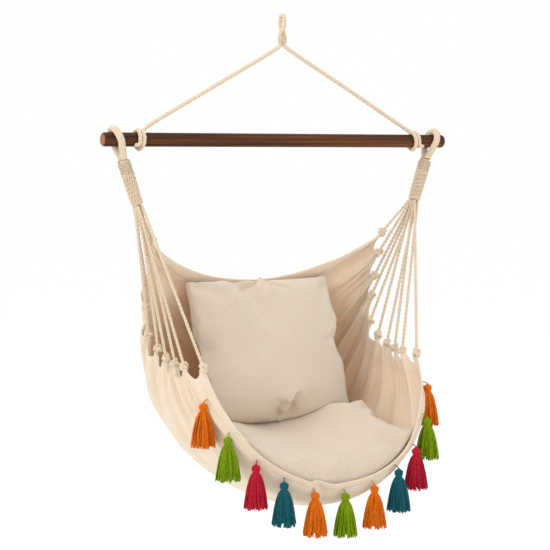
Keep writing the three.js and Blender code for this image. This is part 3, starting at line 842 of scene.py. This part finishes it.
@dataclass
class Suspension:
    """Loops over the bar, wound necks, suspension cords and their end knots."""

    rope: Material
    cords: CordMaker
    loop_x: float = 462 * MM
    loop_diameter: float = 16 * MM
    loop_drop: float = 47 * MM
    slant: float = 55 * MM
    neck_drop: float = 157 * MM
    neck_width: float = 40 * MM
    neck_thickness: float = 30 * MM
    cord_diameter: float = 8.8 * MM
    start_size: float = 0.58
    wrap_reach: float = math.radians(128)
    wrap_steps: int = 12
    core_inset: float = 3.2 * MM
    winding_cord: float = 4.2 * MM
    winding_turns: int = 9
    strand_cord: float = 6 * MM
    strand_inset: float = 1.6 * MM
    strand_count: int = 19
    knot_width: float = 27 * MM
    knot_length: float = 29 * MM
    cord_count: int = 10

    def build(self) -> None:
        """Builds both sides."""
        for name, side in SIDES.items():
            self.loop(name, side)
            self.neck(name, side)
            self.suspension_cords(name)

    def on_line(self, side: float, y: float, height: float) -> list[float]:
        """A point on the slanting line of a loop and its neck, at a height over the bar's axis."""
        return [side * (self.loop_x + height * self.slant / self.neck_drop), y, BAR_Z + height]

    def loop(self, name: str, side: float) -> None:
        """Gathers parallel cords into the loop over the bar."""
        lean = math.atan2(self.slant, self.neck_drop)
        radius = self.loop_diameter / 2
        strand = radius + GAP
        end = -self.loop_drop + GAP / math.cos(lean)
        bend = radius + (BAR_RADIUS + GAP) / math.cos(self.wrap_reach / self.wrap_steps)
        points = [self.on_line(side, -strand, end), self.on_line(side, -strand, end + radius / 2)]
        for i in range(self.wrap_steps + 1):
            a = self.wrap_reach * (2 * i / self.wrap_steps - 1)
            points.append(self.on_line(side, bend * math.sin(a), bend * math.cos(a)))
        points += [self.on_line(side, strand, end + radius / 2), self.on_line(side, strand, end)]
        line = refined(points, 160)
        size, lay_cord = self.loop_diameter, self.cords.cord
        many = {"strands": 7, "lay": 11.0, "step": 0.2, "sides": 8, "sunk": 0.15}
        outer = lay_cord("loop_outer", [line], size * 1.1, self.rope, **many)
        inner = lay_cord("loop_inner", [line], size * 0.55, self.rope, strands=3, lay=6.0)
        piece = joined(f"{name}_loop_strands", [outer, inner])
        keep(piece, "sling", "rope", f"{name}_bar_loop")

    def neck(self, name: str, side: float) -> None:
        """Winds the top of the neck over the lengthwise strands."""
        axis = unit(np.array([-side * self.slant, 0, -self.neck_drop]))
        length = (self.neck_drop - self.loop_drop) / -axis[2]
        start = np.array(self.on_line(side, 0, -self.loop_drop))
        front = np.array([0.0, 1.0, 0.0])
        out = np.cross(front, axis)
        outline = np.array(
            [[0, 0.74], [0.05, 0.92], [0.14, 1], [0.24, 0.95], [0.34, 0.98], [0.7, 0.92], [1, 0.86]]
        )

        def at(angle: Array, share: Array, inset: float) -> Array:
            """Points on the neck's outline, an inset below its surface."""
            size = np.interp(share, outline[:, 0], outline[:, 1])
            thick = size * self.neck_thickness / 2 - inset
            wide = size * self.neck_width / 2 - inset
            return (
                start
                + np.outer(share * length, axis)
                + np.outer(thick * np.cos(angle), out)
                + np.outer(wide * np.sin(angle), front)
            )

        rows, around = 24, 40
        shares = np.repeat(np.linspace(0.01, 0.99, rows), around)
        angles = np.tile(np.arange(around) * TURN / around, rows)
        points = at(angles, shares, self.core_inset)
        core = mesh_of("neck_core", points, tube_faces(rows, around), self.rope)
        mend_normals(core)
        turns, cord = self.winding_turns, self.winding_cord
        angle = np.linspace(0, TURN * turns, turns * 36)
        winding = at(angle, 0.03 + 0.33 * angle / angle[-1], cord / 4)
        laid = partial(self.cords.cord, finish=self.rope, strands=2, sides=6)
        wound = laid("neck_winding", [winding], cord, lay=3.4)
        share = np.linspace(0.3, 0.985, 24)
        starts = TURN * np.arange(self.strand_count) / self.strand_count
        lean = 0.35 * (share - share[0])
        strands = [at(start_angle + lean, share, self.strand_inset) for start_angle in starts]
        long = laid("neck_strands", strands, self.strand_cord, lay=3.6)
        piece = joined(f"{name}_neck_winding", [core, wound, long])
        keep(piece, "sling", "rope", f"{name}_neck_wrap")

    def suspension_cords(self, name: str) -> None:
        """Lays the ten cords of a side and ties their knots."""
        size, knots = self.cord_diameter, []
        laid = {"strands": 2, "lay": 2.4, "sunk": 0.1, "start_size": self.start_size}
        for i in range(self.cord_count):
            node = f"{name}_cord_{i + 1:02d}"
            start, end = centre_line_of(node)
            axis = unit(end - start)
            line = np.linspace(start, end - axis * self.knot_length / 2, 60)
            piece = self.cords.cord(f"{node}_laid", [line], size, self.rope, **laid)
            keep(piece, "sling", "rope", node)
            knots.append(self.knot_line(end, axis, 0.9 * i))
        tied = self.cords.cord(
            f"{name}_end_knots", knots, size * 1.2, self.rope, strands=2, sunk=0.35
        )
        keep(tied, "sling", "rope")

    def knot_line(self, end: Array, axis: Array, turn: float) -> Array:
        """The line of an overhand knot pulled tight over the end of a cord."""
        t = np.linspace(0, TURN, 90)
        room = self.cord_diameter * 0.62
        along = (np.sin(t) + 2 * np.sin(2 * t)) * (self.knot_length / 2 - room) / 2.9
        wide = (np.cos(t) - 2 * np.cos(2 * t)) * (self.knot_width / 2 - room) / 2.9
        deep = -np.sin(3 * t) * (self.knot_width / 2 - room) * 0.8
        first = unit(np.cross(axis, [0.0, 1.0, 0.2]))
        second = np.cross(axis, first)
        across = math.cos(turn) * first + math.sin(turn) * second
        through = np.cross(axis, across)
        middle = end - axis * self.knot_length / 2
        return middle + np.outer(along, axis) + np.outer(wide, across) + np.outer(deep, through)


@dataclass(frozen=True)
class Crease:
    """A pulled fold in cloth, from one place on it to another, in shares of its half size."""

    start: tuple[float, float]
    end: tuple[float, float]
    depth: float
    width: float

    def drop(self, s: Array, t: Array) -> Array:
        """How far the face is drawn in at each place."""
        a, b = np.array(self.start), np.array(self.end)
        place = np.column_stack([s, t]) - a
        run = b - a
        along = np.clip(place @ run / (run @ run), 0, 1)
        off = np.linalg.norm(place - np.outer(along, run), axis=1) / self.width
        taper = (1 - along) ** 0.9
        return self.depth * taper * (np.exp(-(off**2)) - 0.45 * np.exp(-((off - 1.9) ** 2)))


class Sling:
    """The surface of the cloth, as the CAD source has it. across runs from -1 to 1, along from 0 at
    the top of the back to 1 at the front lip."""

    reach: float = 370 * MM
    drop: float = 910 * MM
    trim: float = 88 * MM
    fold_depth: float = 13 * MM
    scallop: float = 0.026
    tab_reach: float = 11 * MM
    gather: float = 0.62
    fine_pleat: float = 2.2 * MM
    broad_pleat: float = 4.5 * MM
    crease_height: float = 1.7 * MM
    crease_count: int = 10
    crease_seed: int = 7
    hem_width: float = 28 * MM
    knot_count: int = 10

    def __init__(self) -> None:
        centre = np.array(
            [
                *([0.3, 0.3975], [0.41, 0.505], [0.49, 0.615], [0.53, 0.72], [0.515, 0.815]),
                *([0.43, 0.892], [0.28, 0.952], [0.08, 0.981], [-0.16, 0.996], [-0.4, 1.0]),
                *([-0.64, 0.993], [-0.85, 0.975], [-0.965, 0.948], [-1.0, 0.908]),
            ]
        )
        back, down = centre.T
        back = back * self.reach + down * self.trim
        self.centre = np.column_stack([0 * back, back, BAR_Z - down * self.drop])
        turns = np.array([0.5, 0.56, 0.68, 0.82, 0.92, 0.97, 0.98, 0.98, 0.98]) * math.pi / 2
        self.turns = np.column_stack([turns, 0 * turns, 0 * turns])
        tips, pulls = [], []
        for i in range(self.knot_count):
            start, end = centre_line_of(f"right_cord_{i + 1:02d}")
            tips.append(end + unit(end - start) * 3 * GAP)
            pulls.append(unit(start - end))
        self.edge = np.array(tips)
        self.pull = np.array(pulls)
        self.length = path_length(refined(self.centre, 400))

    def between(self, along: Array) -> Array:
        """0 at each knot, 1 half way between two."""
        return np.sin(math.pi * (self.knot_count - 1) * along) ** 2

    def smooth(self, across: Array, along: Array) -> Array:
        """The cloth without its folds."""
        centre, edge = catmull(self.centre, along), catmull(self.edge, along)
        turn = catmull(self.turns, along)[:, 0]
        angle = np.abs(across) * turn
        rise = (1 - np.cos(angle)) / (1 - np.cos(turn))
        return np.column_stack(
            [
                np.sign(across) * edge[:, 0] * np.sin(angle) / np.sin(turn),
                centre[:, 1] + (edge[:, 1] - centre[:, 1]) * rise**1.35,
                centre[:, 2] + (edge[:, 2] - centre[:, 2]) * rise,
            ]
        )

    def outward(self, across: Array, along: Array) -> Array:
        """Outward directions of the cloth without its folds."""
        step = 0.002
        over = self.smooth(np.minimum(across + step, 1), along)
        over -= self.smooth(np.maximum(across - step, -1), along)
        down = self.smooth(across, np.minimum(along + step, 1))
        down -= self.smooth(across, np.maximum(along - step, 0))
        return unit(np.cross(over, down))

    def folded(self, u: Array, v: Array) -> Array:
        """The middle of the cloth with folds, gathered tabs and creases.

        Args:
            u: -1 to 1 across the flat cloth.
            v: 0 to 1 along the flat cloth.

        Returns:
            One point for each pair.
        """
        bays = self.knot_count - 1
        side = np.sign(u)
        rim = np.abs(u)
        gather = self.gather * smoothstep(rim, 0.86, 1.0)
        along = v - gather * np.sin(TURN * bays * v) / (TURN * bays)
        dip = smoothstep(np.abs(np.sin(math.pi * bays * along)), 0.3, 1.0)
        across = u * (1 - self.scallop * dip * rim**7)
        fade = smoothstep(rim, 0.3, 0.85)
        depth = self.fold_depth * fade * self.between(along)
        fine = np.sin(TURN * bays * 3.5 * v + 2 * rim)
        broad = np.sin(TURN * bays * 1.37 * v + 5 * rim * side)
        pleat = self.fine_pleat * smoothstep(rim, 0.7, 0.94) * fine
        pleat += self.broad_pleat * smoothstep(rim, 0.35, 0.9) * broad
        crease = np.zeros(len(u))
        draw = np.random.default_rng(self.crease_seed)
        ranges = ((3, 11), (-3, 3), (0, TURN), (0.3, 0.9))
        for _ in range(self.crease_count):
            k, m, phase, size = (draw.uniform(*ends) for ends in ranges)
            wave = np.sin(TURN * (k * v + m * rim) + phase + side * 0.7)
            crease += self.crease_height * size * wave
        crease *= 0.25 + 0.75 * fade
        crease -= Crease((-0.15, 1.0), (-0.05, 0.9), 12 * MM, 0.03).drop(u, v)
        across, along = np.clip(across, -1, 1), np.clip(along, 0, 1)
        into_knot = self.tab_reach * smoothstep(rim, 0.93, 1.0) * (1 - dip)
        pull = catmull(self.pull, along) * np.column_stack([side, np.ones_like(u), np.ones_like(u)])
        raised = self.outward(across, along) * (depth + pleat + crease)[:, None]
        return self.smooth(across, along) + raised + pull * into_knot[:, None]


@dataclass
class SeatCloth:
    """The canvas sling with its hems, gathered tabs and stitching."""

    sling: Sling
    canvas: Material
    thread: Material
    stitches: NodeTree
    rows: int = 268
    columns: int = 165
    thickness: float = 2 * MM
    hem_thickness: float = 4 * MM
    flat_half_width: float = 0.5
    stitch_lift: float = 0.25 * MM
    header: float = 0.93

    def build(self) -> Object:
        """Builds the cloth and its stitching, and gives the cloth back."""
        u, v = grid_places(self.rows, self.columns, 0)
        middle = self.sling.folded(u, v)
        shape = (self.rows, self.columns, 3)
        normal = grid_normals(middle.reshape(shape)).reshape(-1, 3)
        hem = self.sling.hem_width / self.sling.length
        edge = np.minimum(v, 1 - v)
        in_header = smoothstep(np.abs(u), self.header - 0.005, self.header + 0.005)
        in_hem = np.maximum(1 - smoothstep(edge, hem, hem + 0.004), in_header)
        thick = self.thickness + (self.hem_thickness - self.thickness) * in_hem
        roll = 1 - smoothstep(edge, 0.0, 0.006)
        thick = thick * (1 - 0.35 * roll)
        outer = middle + normal * thick[:, None] / 2
        inner = middle - normal * thick[:, None] / 2
        count = self.rows * self.columns
        faces = grid_faces(self.rows, self.columns)
        faces += grid_faces(self.rows, self.columns, count, True)
        rim = rim_of(self.rows, self.columns)
        faces += [[b, a, a + count, b + count] for a, b in zip(rim, rim[1:] + rim[:1])]
        uv = np.column_stack([u * self.flat_half_width, v * self.sling.length])
        points = np.vstack([outer, inner])
        piece = mesh_of("cloth_canvas", points, faces, self.canvas, np.vstack([uv, uv]))
        mend_normals(piece)
        keep(piece, "sling", "canvas", "seat_cloth")
        rows = self.stitching(outer, inner, normal)
        return piece

    def stitching(self, outer: Array, inner: Array, normal: Array) -> Object:
        """Sews the two hems and the header of each gathered side."""
        lines = []
        hem_row = round(self.sling.hem_width / self.sling.length * (self.rows - 1)) - 1
        header = round((1 - self.header) / 2 * (self.columns - 1))
        for layer, side in ((outer, 1), (inner, -1)):
            raised = layer + side * self.stitch_lift * normal
            grid = raised.reshape(self.rows, self.columns, 3)
            lines += [grid[row, header:-header] for row in (hem_row, self.rows - 1 - hem_row)]
            lines += [grid[:, column] for column in (header, self.columns - 1 - header)]
        values = {"Pitch": 6.5 * MM, "Length": 4.6 * MM, "Thickness": MM, "Material": self.thread}
        piece = grown("cloth_stitches", self.stitches, lines, values)
        return keep(piece, "sling", "canvas")


@dataclass
class Cushion:
    """A sewn canvas cover over its filling, blown up in a simulation and laid in its place."""

    name: str
    sling: Sling
    cover: Material
    thread: Material
    stitches: NodeTree
    width: float
    length: float
    crown: float
    wedge: float
    lift: float
    sunk: bool
    fill: float
    creases: tuple[Crease, ...]
    seed: int
    cells: tuple[int, int] = (46, 52)
    draw_in: float = 0.06
    puckers_a_side: int = 12
    room: float = 0.8 * MM
    stitch_lift: float = 0.5 * MM
    back_taper: float = 0.32
    back_lean: float = 0.22 * math.pi / 2
    bow: float = 14 * MM
    lip_gap: float = 38 * MM

    def seat_frame(self) -> tuple[float, float, float, Array]:
        """Where the seat cushion lies on the cloth: middle, half length, half width and up."""
        share = self.length / self.sling.length
        middle = 1 - self.lip_gap / self.sling.length - share / 2
        turn = float(catmull(self.sling.turns, np.array([middle]))[0, 0])
        edge = float(catmull(self.sling.edge, np.array([middle]))[0, 0])
        half_across = math.asin(self.width / 2 / edge * math.sin(turn)) / turn
        ends = self.sling.smooth(np.zeros(2), np.array([middle + share / 2, middle - share / 2]))
        up = unit(np.cross(ends[0] - ends[1], [1.0, 0.0, 0.0]))
        return middle, share / 2, half_across, up

    def seam(self, s: Array, t: Array) -> tuple[Array, Array]:
        """The surface through the seam, and the direction of the thickness.

        Args:
            s: -1 to 1 across.
            t: -1 at the back or top to 1 at the front or bottom.

        Returns:
            One point for each pair, and the direction.
        """
        if self.sunk:
            middle, half_length, half_across, up = self.seat_frame()
            narrow = 1 - self.back_taper * ((1 - t) / 2) ** 2
            across = half_across * s * narrow * (1 - self.draw_in * s * s * (1 - t * t))
            along = middle + half_length * t * (1 - self.draw_in * t * t * (1 - s * s))
            return self.sling.smooth(across, along) + up * self.lift, up
        sine, cosine = math.sin(self.back_lean), math.cos(self.back_lean)
        down, up = np.array([0, -sine, -cosine]), np.array([0, -cosine, sine])
        across = self.width / 2 * (1 - self.draw_in * s * s * (1 - t * t)) * s
        point = np.outer(self.length * (1 + t) / 2, down) + np.outer(self.bow * s * s, up)
        point[:, 0] += across
        return point, up

    def crowned(self, s: Array, t: Array) -> Array:
        """The CAD cushion's share of fullness."""
        full = (1 - np.abs(s) ** 2.1) * (1 - np.abs(t) ** 2.1)
        return np.maximum(full, 0) ** 0.58

    def inflated(self) -> tuple[Array, Array, Array]:
        """Blows up two sewn panels in a cloth simulation.

        Returns:
            Places across and along each face, and its height, from 0 at the seam to 1, in two
            layers: the face that is used, then the other.
        """
        columns, rows = self.cells[0] + 1, self.cells[1] + 1
        s, t = grid_places(rows, columns)
        crown = self.crowned(s, t)
        start = 0.16 * crown * self.crown
        flat = np.column_stack([s * self.width / 2, t * self.length / 2, start])
        low = flat * [1, 1, -1]
        inside, faces = bag_faces(rows, columns)
        bag = mesh_of(f"{self.name}_bag", np.vstack([flat, low[inside]]), faces)
        cloth = bag.modifiers.new("inflate", "CLOTH")
        for setting, value in CLOTH_SETTINGS.items():
            setattr(cloth.settings, setting, value)
        cloth.settings.effector_weights.gravity = 0
        cloth.point_cache.frame_start, cloth.point_cache.frame_end = 1, CLOTH_FRAMES
        for step in range(1, CLOTH_FRAMES + 1):
            bpy.context.scene.frame_set(step)
        points = np.array([v.co for v in flattened(bag).vertices])
        bpy.context.scene.frame_set(1)
        top = points[: rows * columns]
        bottom = top.copy()
        bottom[inside] = points[rows * columns :]
        LOG.info("%s blown up to %.0f mm", self.name, np.ptp(points[:, 2]) / MM)
        layers = []
        for layer, sign in ((top, 1), (bottom, -1)):
            grid = layer.reshape(rows, columns, 3)
            x, y, height = grid[..., 0], grid[..., 1], sign * grid[..., 2]
            half_x = np.maximum((x[:, -1] - x[:, 0]) / 2, 1e-6)[:, None]
            half_y = np.maximum((y[-1] - y[0]) / 2, 1e-6)[None, :]
            across = (x - (x[:, -1] + x[:, 0])[:, None] / 2) / half_x
            along = (y - (y[-1] + y[0])[None, :] / 2) / half_y
            layers.append((across, along, height / np.percentile(height, 97)))
        return tuple(np.stack([a.ravel(), b.ravel()]) for a, b in zip(*layers))

    def shift(self) -> Array:
        """How far the CAD cushion was moved when it was laid in its place."""
        s, t = grid_places(13, 13)
        crown = self.crowned(s, t)
        thick = self.crown * (1 - self.wedge * t)
        point, up = self.seam(s, t)
        base = self.lift * (1 - crown) + thick * crown / 2 if self.sunk else 0 * crown
        layers = [point + np.outer(base + sign * thick * crown / 2, up) for sign in (-1, 1)]
        made = np.vstack(layers)
        low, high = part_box(f"{self.name}_cover")
        return (np.array(low) + np.array(high) - made.min(0) - made.max(0)) / 2

    def build(self, keep_off: list[tuple[BVHTree, float]]) -> Object:
        """Builds the cushion clear of its neighbours.

        Args:
            keep_off: trees of the meshes that it lies against, and how far each one reaches.

        Returns:
            The cushion.
        """
        columns, rows = self.cells[0] + 1, self.cells[1] + 1
        s, t, height = self.inflated()
        moved = self.shift()
        creases = (*self.creases, *self.gathers())
        faces_of = []
        for layer, sign in ((0, 1.0), (1, -1.0)):
            ls, lt, lh = s[layer], t[layer], height[layer]
            point, up = self.seam(ls, lt)
            thick = self.crown * (1 - self.wedge * lt)
            if self.sunk:
                full = thick if sign > 0 else 0.02 * thick
                rise = self.lift * (1 - self.crowned(ls, lt)) + full * lh
            else:
                rise = sign * thick / 2 * lh
            if sign > 0:
                drawn = sum(crease.drop(ls, lt) for crease in creases)
                rise = rise - np.minimum(drawn, 0.4 * thick * np.abs(lh))
            faces_of.append(point + np.outer(rise, up) + moved)
        # The seam is closed before and after the faces are moved clear.
        rim = np.array(rim_of(rows, columns))
        for trees in ([], keep_off):
            for layer in faces_of:
                clear_of(layer, trees, self.room)
            seam_line = (faces_of[0][rim] + faces_of[1][rim]) / 2
            for layer in faces_of:
                layer[rim] = seam_line
        inside, faces = bag_faces(rows, columns, True)
        across, along = grid_places(rows, columns)
        uv = np.column_stack([across * self.width / 2, along * self.length / 2])
        points = np.vstack([faces_of[0], faces_of[1][inside]])
        uv = np.vstack([uv, uv[inside]])
        piece = mesh_of(f"{self.name}_canvas", points, faces, self.cover, uv)
        mend_normals(piece)
        fine = piece.modifiers.new("fine", "SUBSURF")
        fine.levels = fine.render_levels = 1
        piece = object_of(f"{self.name}_canvas", flattened(piece))
        keep(piece, self.name, "cover", f"{self.name}_cover", f"{self.name}_pad")
        self.seam_stitches(faces_of, rows, columns)
        return piece

    def gathers(self) -> list[Crease]:
        """Small puckers along the seam, where its thread draws the cover in."""
        draw = np.random.default_rng(self.seed)
        made = []
        for edge in range(4):
            for place in np.linspace(-0.86, 0.86, self.puckers_a_side):
                first = place + draw.uniform(-0.06, 0.06)
                reach, lean = draw.uniform(0.12, 0.45), draw.uniform(-0.14, 0.14)
                ends = [(first, 1.0), (first + lean, 1 - reach)]
                if edge % 2:
                    ends = [(b, a) for a, b in ends]
                if edge > 1:
                    ends = [(-a, -b) for a, b in ends]
                depth, width = draw.uniform(1.5, 5.0) * MM, draw.uniform(0.025, 0.045)
                made.append(Crease(ends[0], ends[1], depth, width))
        return made

    def seam_stitches(self, layers: list[Array], rows: int, columns: int) -> None:
        """Sews a line of stitches just inside the seam of each face."""
        lines = []
        for layer in layers:
            grid = layer.reshape(rows, columns, 3)
            sign = -1 if layer is layers[0] else 1
            raised = grid + sign * self.stitch_lift * grid_normals(grid)
            lines += [raised[1, 1:-1], raised[-2, 1:-1], raised[1:-1, 1], raised[1:-1, -2]]
        values = {"Pitch": 6 * MM, "Length": 4 * MM, "Thickness": 0.9 * MM, "Material": self.thread}
        keep(grown(f"{self.name}_stitches", self.stitches, lines, values), self.name, "cover")


def clear_of(points: Array, trees: list[tuple[BVHTree, float]], room: float) -> None:
    """Moves points that lie beyond a surface back to its near side.

    Args:
        points: changed in place.
        trees: surfaces whose faces point away from the points' side, and how far each one reaches.
        room: how far from the surface they come to lie.
    """
    for tree, reach in trees:
        for i, point in enumerate(points):
            place, normal, _, _ = tree.find_nearest(Vector(point), reach)
            if place is None:
                continue
            depth = (Vector(point) - place).dot(normal)
            if depth > -room:
                points[i] = place - normal * room


@dataclass
class Tassels:
    """Eleven yarn tassels along the front hem, each on its thread."""

    yarns: dict[Dye, Material]
    cords: CordMaker
    tree: NodeTree
    length: float = 108 * MM
    head_share: float = 0.176
    skirt_radius: float = 31 * MM
    neck_radius: float = 6.6 * MM
    yarn_radius: float = 1.15 * MM
    strand_count: int = 185
    core_sides: int = 20
    binding_turns: int = 4
    binding_size: float = 1.7 * MM
    binding_pitch: float = 1.5 * MM
    thread_size: float = 3 * MM
    order: tuple[Dye, ...] = (
        *(Dye.ORANGE, Dye.LIME, Dye.RASPBERRY, Dye.TEAL, Dye.ORANGE, Dye.LIME),
        *(Dye.ORANGE, Dye.TEAL, Dye.RASPBERRY, Dye.LIME, Dye.ORANGE),
    )

    def build(self) -> None:
        """Builds the tassels from left to right."""
        for i, dye in enumerate(self.order):
            self.tassel(f"{i + 1:02d}", dye, seed=31 * i + 5)

    def tassel(self, number: str, dye: Dye, seed: int) -> None:
        """Makes a tassel and its thread.

        Args:
            number: its number, as in the node's name.
            dye: its colour.
            seed: for its strands.
        """
        yarn = self.yarns[dye]
        slot = f"{dye.value[0]}_yarn"
        low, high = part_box(f"tassel_{number}")
        top = Vector(((low.x + high.x) / 2, (low.y + high.y) / 2, high.z))
        values = {
            "Strands": self.strand_count,
            "Length": self.length - self.yarn_radius,
            "Skirt Radius": self.skirt_radius - self.yarn_radius,
            "Yarn Radius": self.yarn_radius,
            "Seed": seed,
            "Material": yarn,
        }
        strands = grown("strands", self.tree, [np.zeros((1, 3))], values)
        outline = (
            *((0.88, 0.66), (0.6, 0.56), (0.4, 0.42), (0.24, 0.26), (self.head_share, 0.19)),
            *((0.15, 0.25), (0.1, 0.3), (0.05, 0.27), (0.01, 0.1)),
        )
        profile = [(-h * self.length, r * self.skirt_radius) for h, r in outline]
        points, faces = lathe(profile, self.core_sides)
        core = mesh_of("core", points, faces, yarn)
        turns = self.binding_turns
        angle = np.linspace(0, TURN * turns, turns * self.core_sides)
        height = self.binding_pitch * (2 - angle / TURN) - self.head_share * self.length
        around = self.neck_radius * np.array([np.cos(angle), np.sin(angle)])
        winding = np.column_stack([*around, height])
        laid = partial(self.cords.cord, finish=yarn, sides=6)
        binding = laid("binding", [winding], self.binding_size, strands=1, step=1.2)
        piece = joined(f"tassel_yarn_{number}", [strands, core, binding])
        piece.data.transform(Matrix.Translation(top))
        keep(piece, f"tassel_{number}", slot, f"tassel_{number}")
        start, end = centre_line_of(f"tassel_thread_{number}")
        line = np.linspace(start, end, 12)
        thread = laid(f"thread_{number}", [line], self.thread_size, strands=2, step=0.4)
        keep(thread, "sling", slot, f"tassel_thread_{number}")


def keep(piece: Object, body: str, slot: str, *nodes: str) -> Object:
    """Binds a piece to its body and hides the nodes that it stands for."""
    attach(piece, body)
    if nodes:
        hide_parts(*nodes)
    LOG.info("%s: %d faces on %s", piece.name, len(piece.data.polygons), body)
    return piece


def mend_normals(piece: Object) -> None:
    """Turns a closed mesh's faces outward."""
    made = bmesh.new()
    made.from_mesh(piece.data)
    bmesh.ops.recalc_face_normals(made, faces=made.faces)
    made.to_mesh(piece.data)
    made.free()


def surface_tree(points: Array, faces: list) -> BVHTree:
    """A search tree of a surface."""
    return BVHTree.FromPolygons([Vector(p) for p in points], faces)


def upper_face(piece: Object) -> BVHTree:
    """A search tree of a cushion's upper face, turned round, for what lies on it."""
    mesh = piece.data
    faces = [list(p.vertices)[::-1] for p in mesh.polygons if p.normal.z > 0.15]
    return surface_tree([v.co for v in mesh.vertices], faces)


def inner_surface(sling: Sling) -> BVHTree:
    """A search tree of the cloth's inner side, with faces that point outward."""
    rows, columns = 150, 110
    u, v = grid_places(rows, columns, 0)
    points = sling.folded(u, v) - 2 * MM * sling.outward(u, v)
    return surface_tree(points, grid_faces(rows, columns))


def set_stage() -> None:
    """Makes the floor, the light and the camera of the photograph's view."""
    pale = bpy.data.materials.new("pale_floor")
    pale.use_nodes = True
    shader = pale.node_tree.nodes["Principled BSDF"]
    shader.inputs["Base Color"].default_value = linear("#ffffff")
    shader.inputs["Roughness"].default_value = 0.9
    corners = [(x, y, FLOOR_Z) for x, y in ((-1, -1), (1, -1), (1, 1), (-1, 1))]
    corners = np.array(corners) * [FLOOR_HALF_WIDTH, FLOOR_HALF_WIDTH, 1]
    mesh_of("floor", corners, [[0, 1, 2, 3]], pale)
    scene = bpy.context.scene
    scene.view_settings.view_transform = "Standard"
    world = bpy.data.worlds.new("studio")
    scene.world = world
    world.use_nodes = True
    background = world.node_tree.nodes["Background"]
    background.inputs[0].default_value = linear("#ffffff")
    background.inputs[1].default_value = 1.0
    for name, place, size, power in (
        ("key", (-3.6, -1.6, 1.2), 2.2, 44),
        ("top", (-1.0, 0.4, 2.4), 2.0, 18),
        ("fill", (2.6, -3.2, 0.4), 2.6, 12),
    ):
        lamp = bpy.data.lights.new(name, "AREA")
        lamp.size = size
        lamp.energy = power
        light = bpy.data.objects.new(name, lamp)
        light.location = place
        aim = LAMP_TARGET - Vector(place)
        light.rotation_euler = aim.to_track_quat("-Z", "Y").to_euler()
        scene.collection.objects.link(light)
    lens = bpy.data.cameras.new("camera")
    lens.sensor_width, lens.lens = 36, 110.3
    camera = bpy.data.objects.new("camera", lens)
    camera.location = (-2.2007, -3.6614, -0.3488)
    camera.rotation_euler = (math.radians(90 - 4.047), 0, math.radians(-30.763))
    scene.collection.objects.link(camera)
    scene.camera = camera


def main() -> None:
    """Builds the chair's looks in order."""
    set_stage()
    stains = ("#271408", "#4d2c16", "#7a4824", "#9c6a45")
    wood = StainedWood("walnut_dowel", *stains, grain=7 * MM, half_length=500 * MM).build()
    rope = CottonFibre("natural_cotton_rope", "#e6d6be", "#bfa483", 1.2 * MM, sheen=0.1).build()
    thread = CottonFibre("sewing_thread", "#d8c6ac", "#b39c7c", 0.8 * MM, sheen=0.1).build()
    canvas = WovenCanvas("sling_canvas", "#e2d3bf", "#dac9b2", 1.1 * MM, 90 * MM).build()
    cover = WovenCanvas("cushion_canvas", "#d6c9b9", "#cebfac", 1.0 * MM, 110 * MM).build()
    yarns = {}
    for dye in Dye:
        name, colour, shade = dye.value
        fibre = CottonFibre(f"cotton_yarn_{name}", colour, shade, 1.6 * MM, stretch=6.0, sheen=0.0)
        yarns[dye] = fibre.build()
    cords = CordMaker(laid_cord_tree())
    stitches = stitch_tree()
    Hanger(wood, rope, cords).build()
    Suspension(rope, cords).build()
    sling = Sling()
    SeatCloth(sling, canvas, thread, stitches).build()
    inner = inner_surface(sling)
    sewn = partial(Cushion, sling=sling, cover=cover, thread=thread, stitches=stitches)
    seat = sewn(
        name="seat_cushion",
        width=500 * MM,
        length=585 * MM,
        crown=174 * MM,
        wedge=0.38,
        lift=20 * MM,
        sunk=True,
        fill=0.7,
        creases=(
            Crease((0.14, 0.97), (-0.06, 0.35), 24 * MM, 0.06),
            Crease((0.26, 0.97), (0.2, 0.5), 14 * MM, 0.045),
            Crease((0.68, 0.94), (0.5, 0.2), 24 * MM, 0.065),
            Crease((-0.35, 0.97), (-0.3, 0.5), 12 * MM, 0.05),
            Crease((-0.6, 0.97), (-0.45, 0.6), 8 * MM, 0.04),
            Crease((0.95, -0.95), (0.5, -0.2), 26 * MM, 0.3),
        ),
        seed=11,
    ).build([(inner, 0.12)])
    sewn(
        name="back_cushion",
        width=430 * MM,
        length=374 * MM,
        crown=150 * MM,
        wedge=0.0,
        lift=0.0,
        sunk=False,
        fill=0.6,
        creases=(
            Crease((-0.3, -0.97), (-0.12, -0.2), 30 * MM, 0.1),
            Crease((-0.86, -0.9), (-0.5, -0.66), 12 * MM, 0.07),
            Crease((0.9, -0.86), (0.68, -0.5), 10 * MM, 0.07),
            Crease((0.94, -0.1), (0.6, 0.05), 8 * MM, 0.05),
        ),
        seed=23,
        puckers_a_side=0,
    ).build([(inner, 0.12), (upper_face(seat), 0.06)])
    Tassels(yarns, cords, tassel_tree()).build()


if __name__ == "__main__":
    logging.basicConfig(level=logging.INFO, format="%(message)s")
    main()
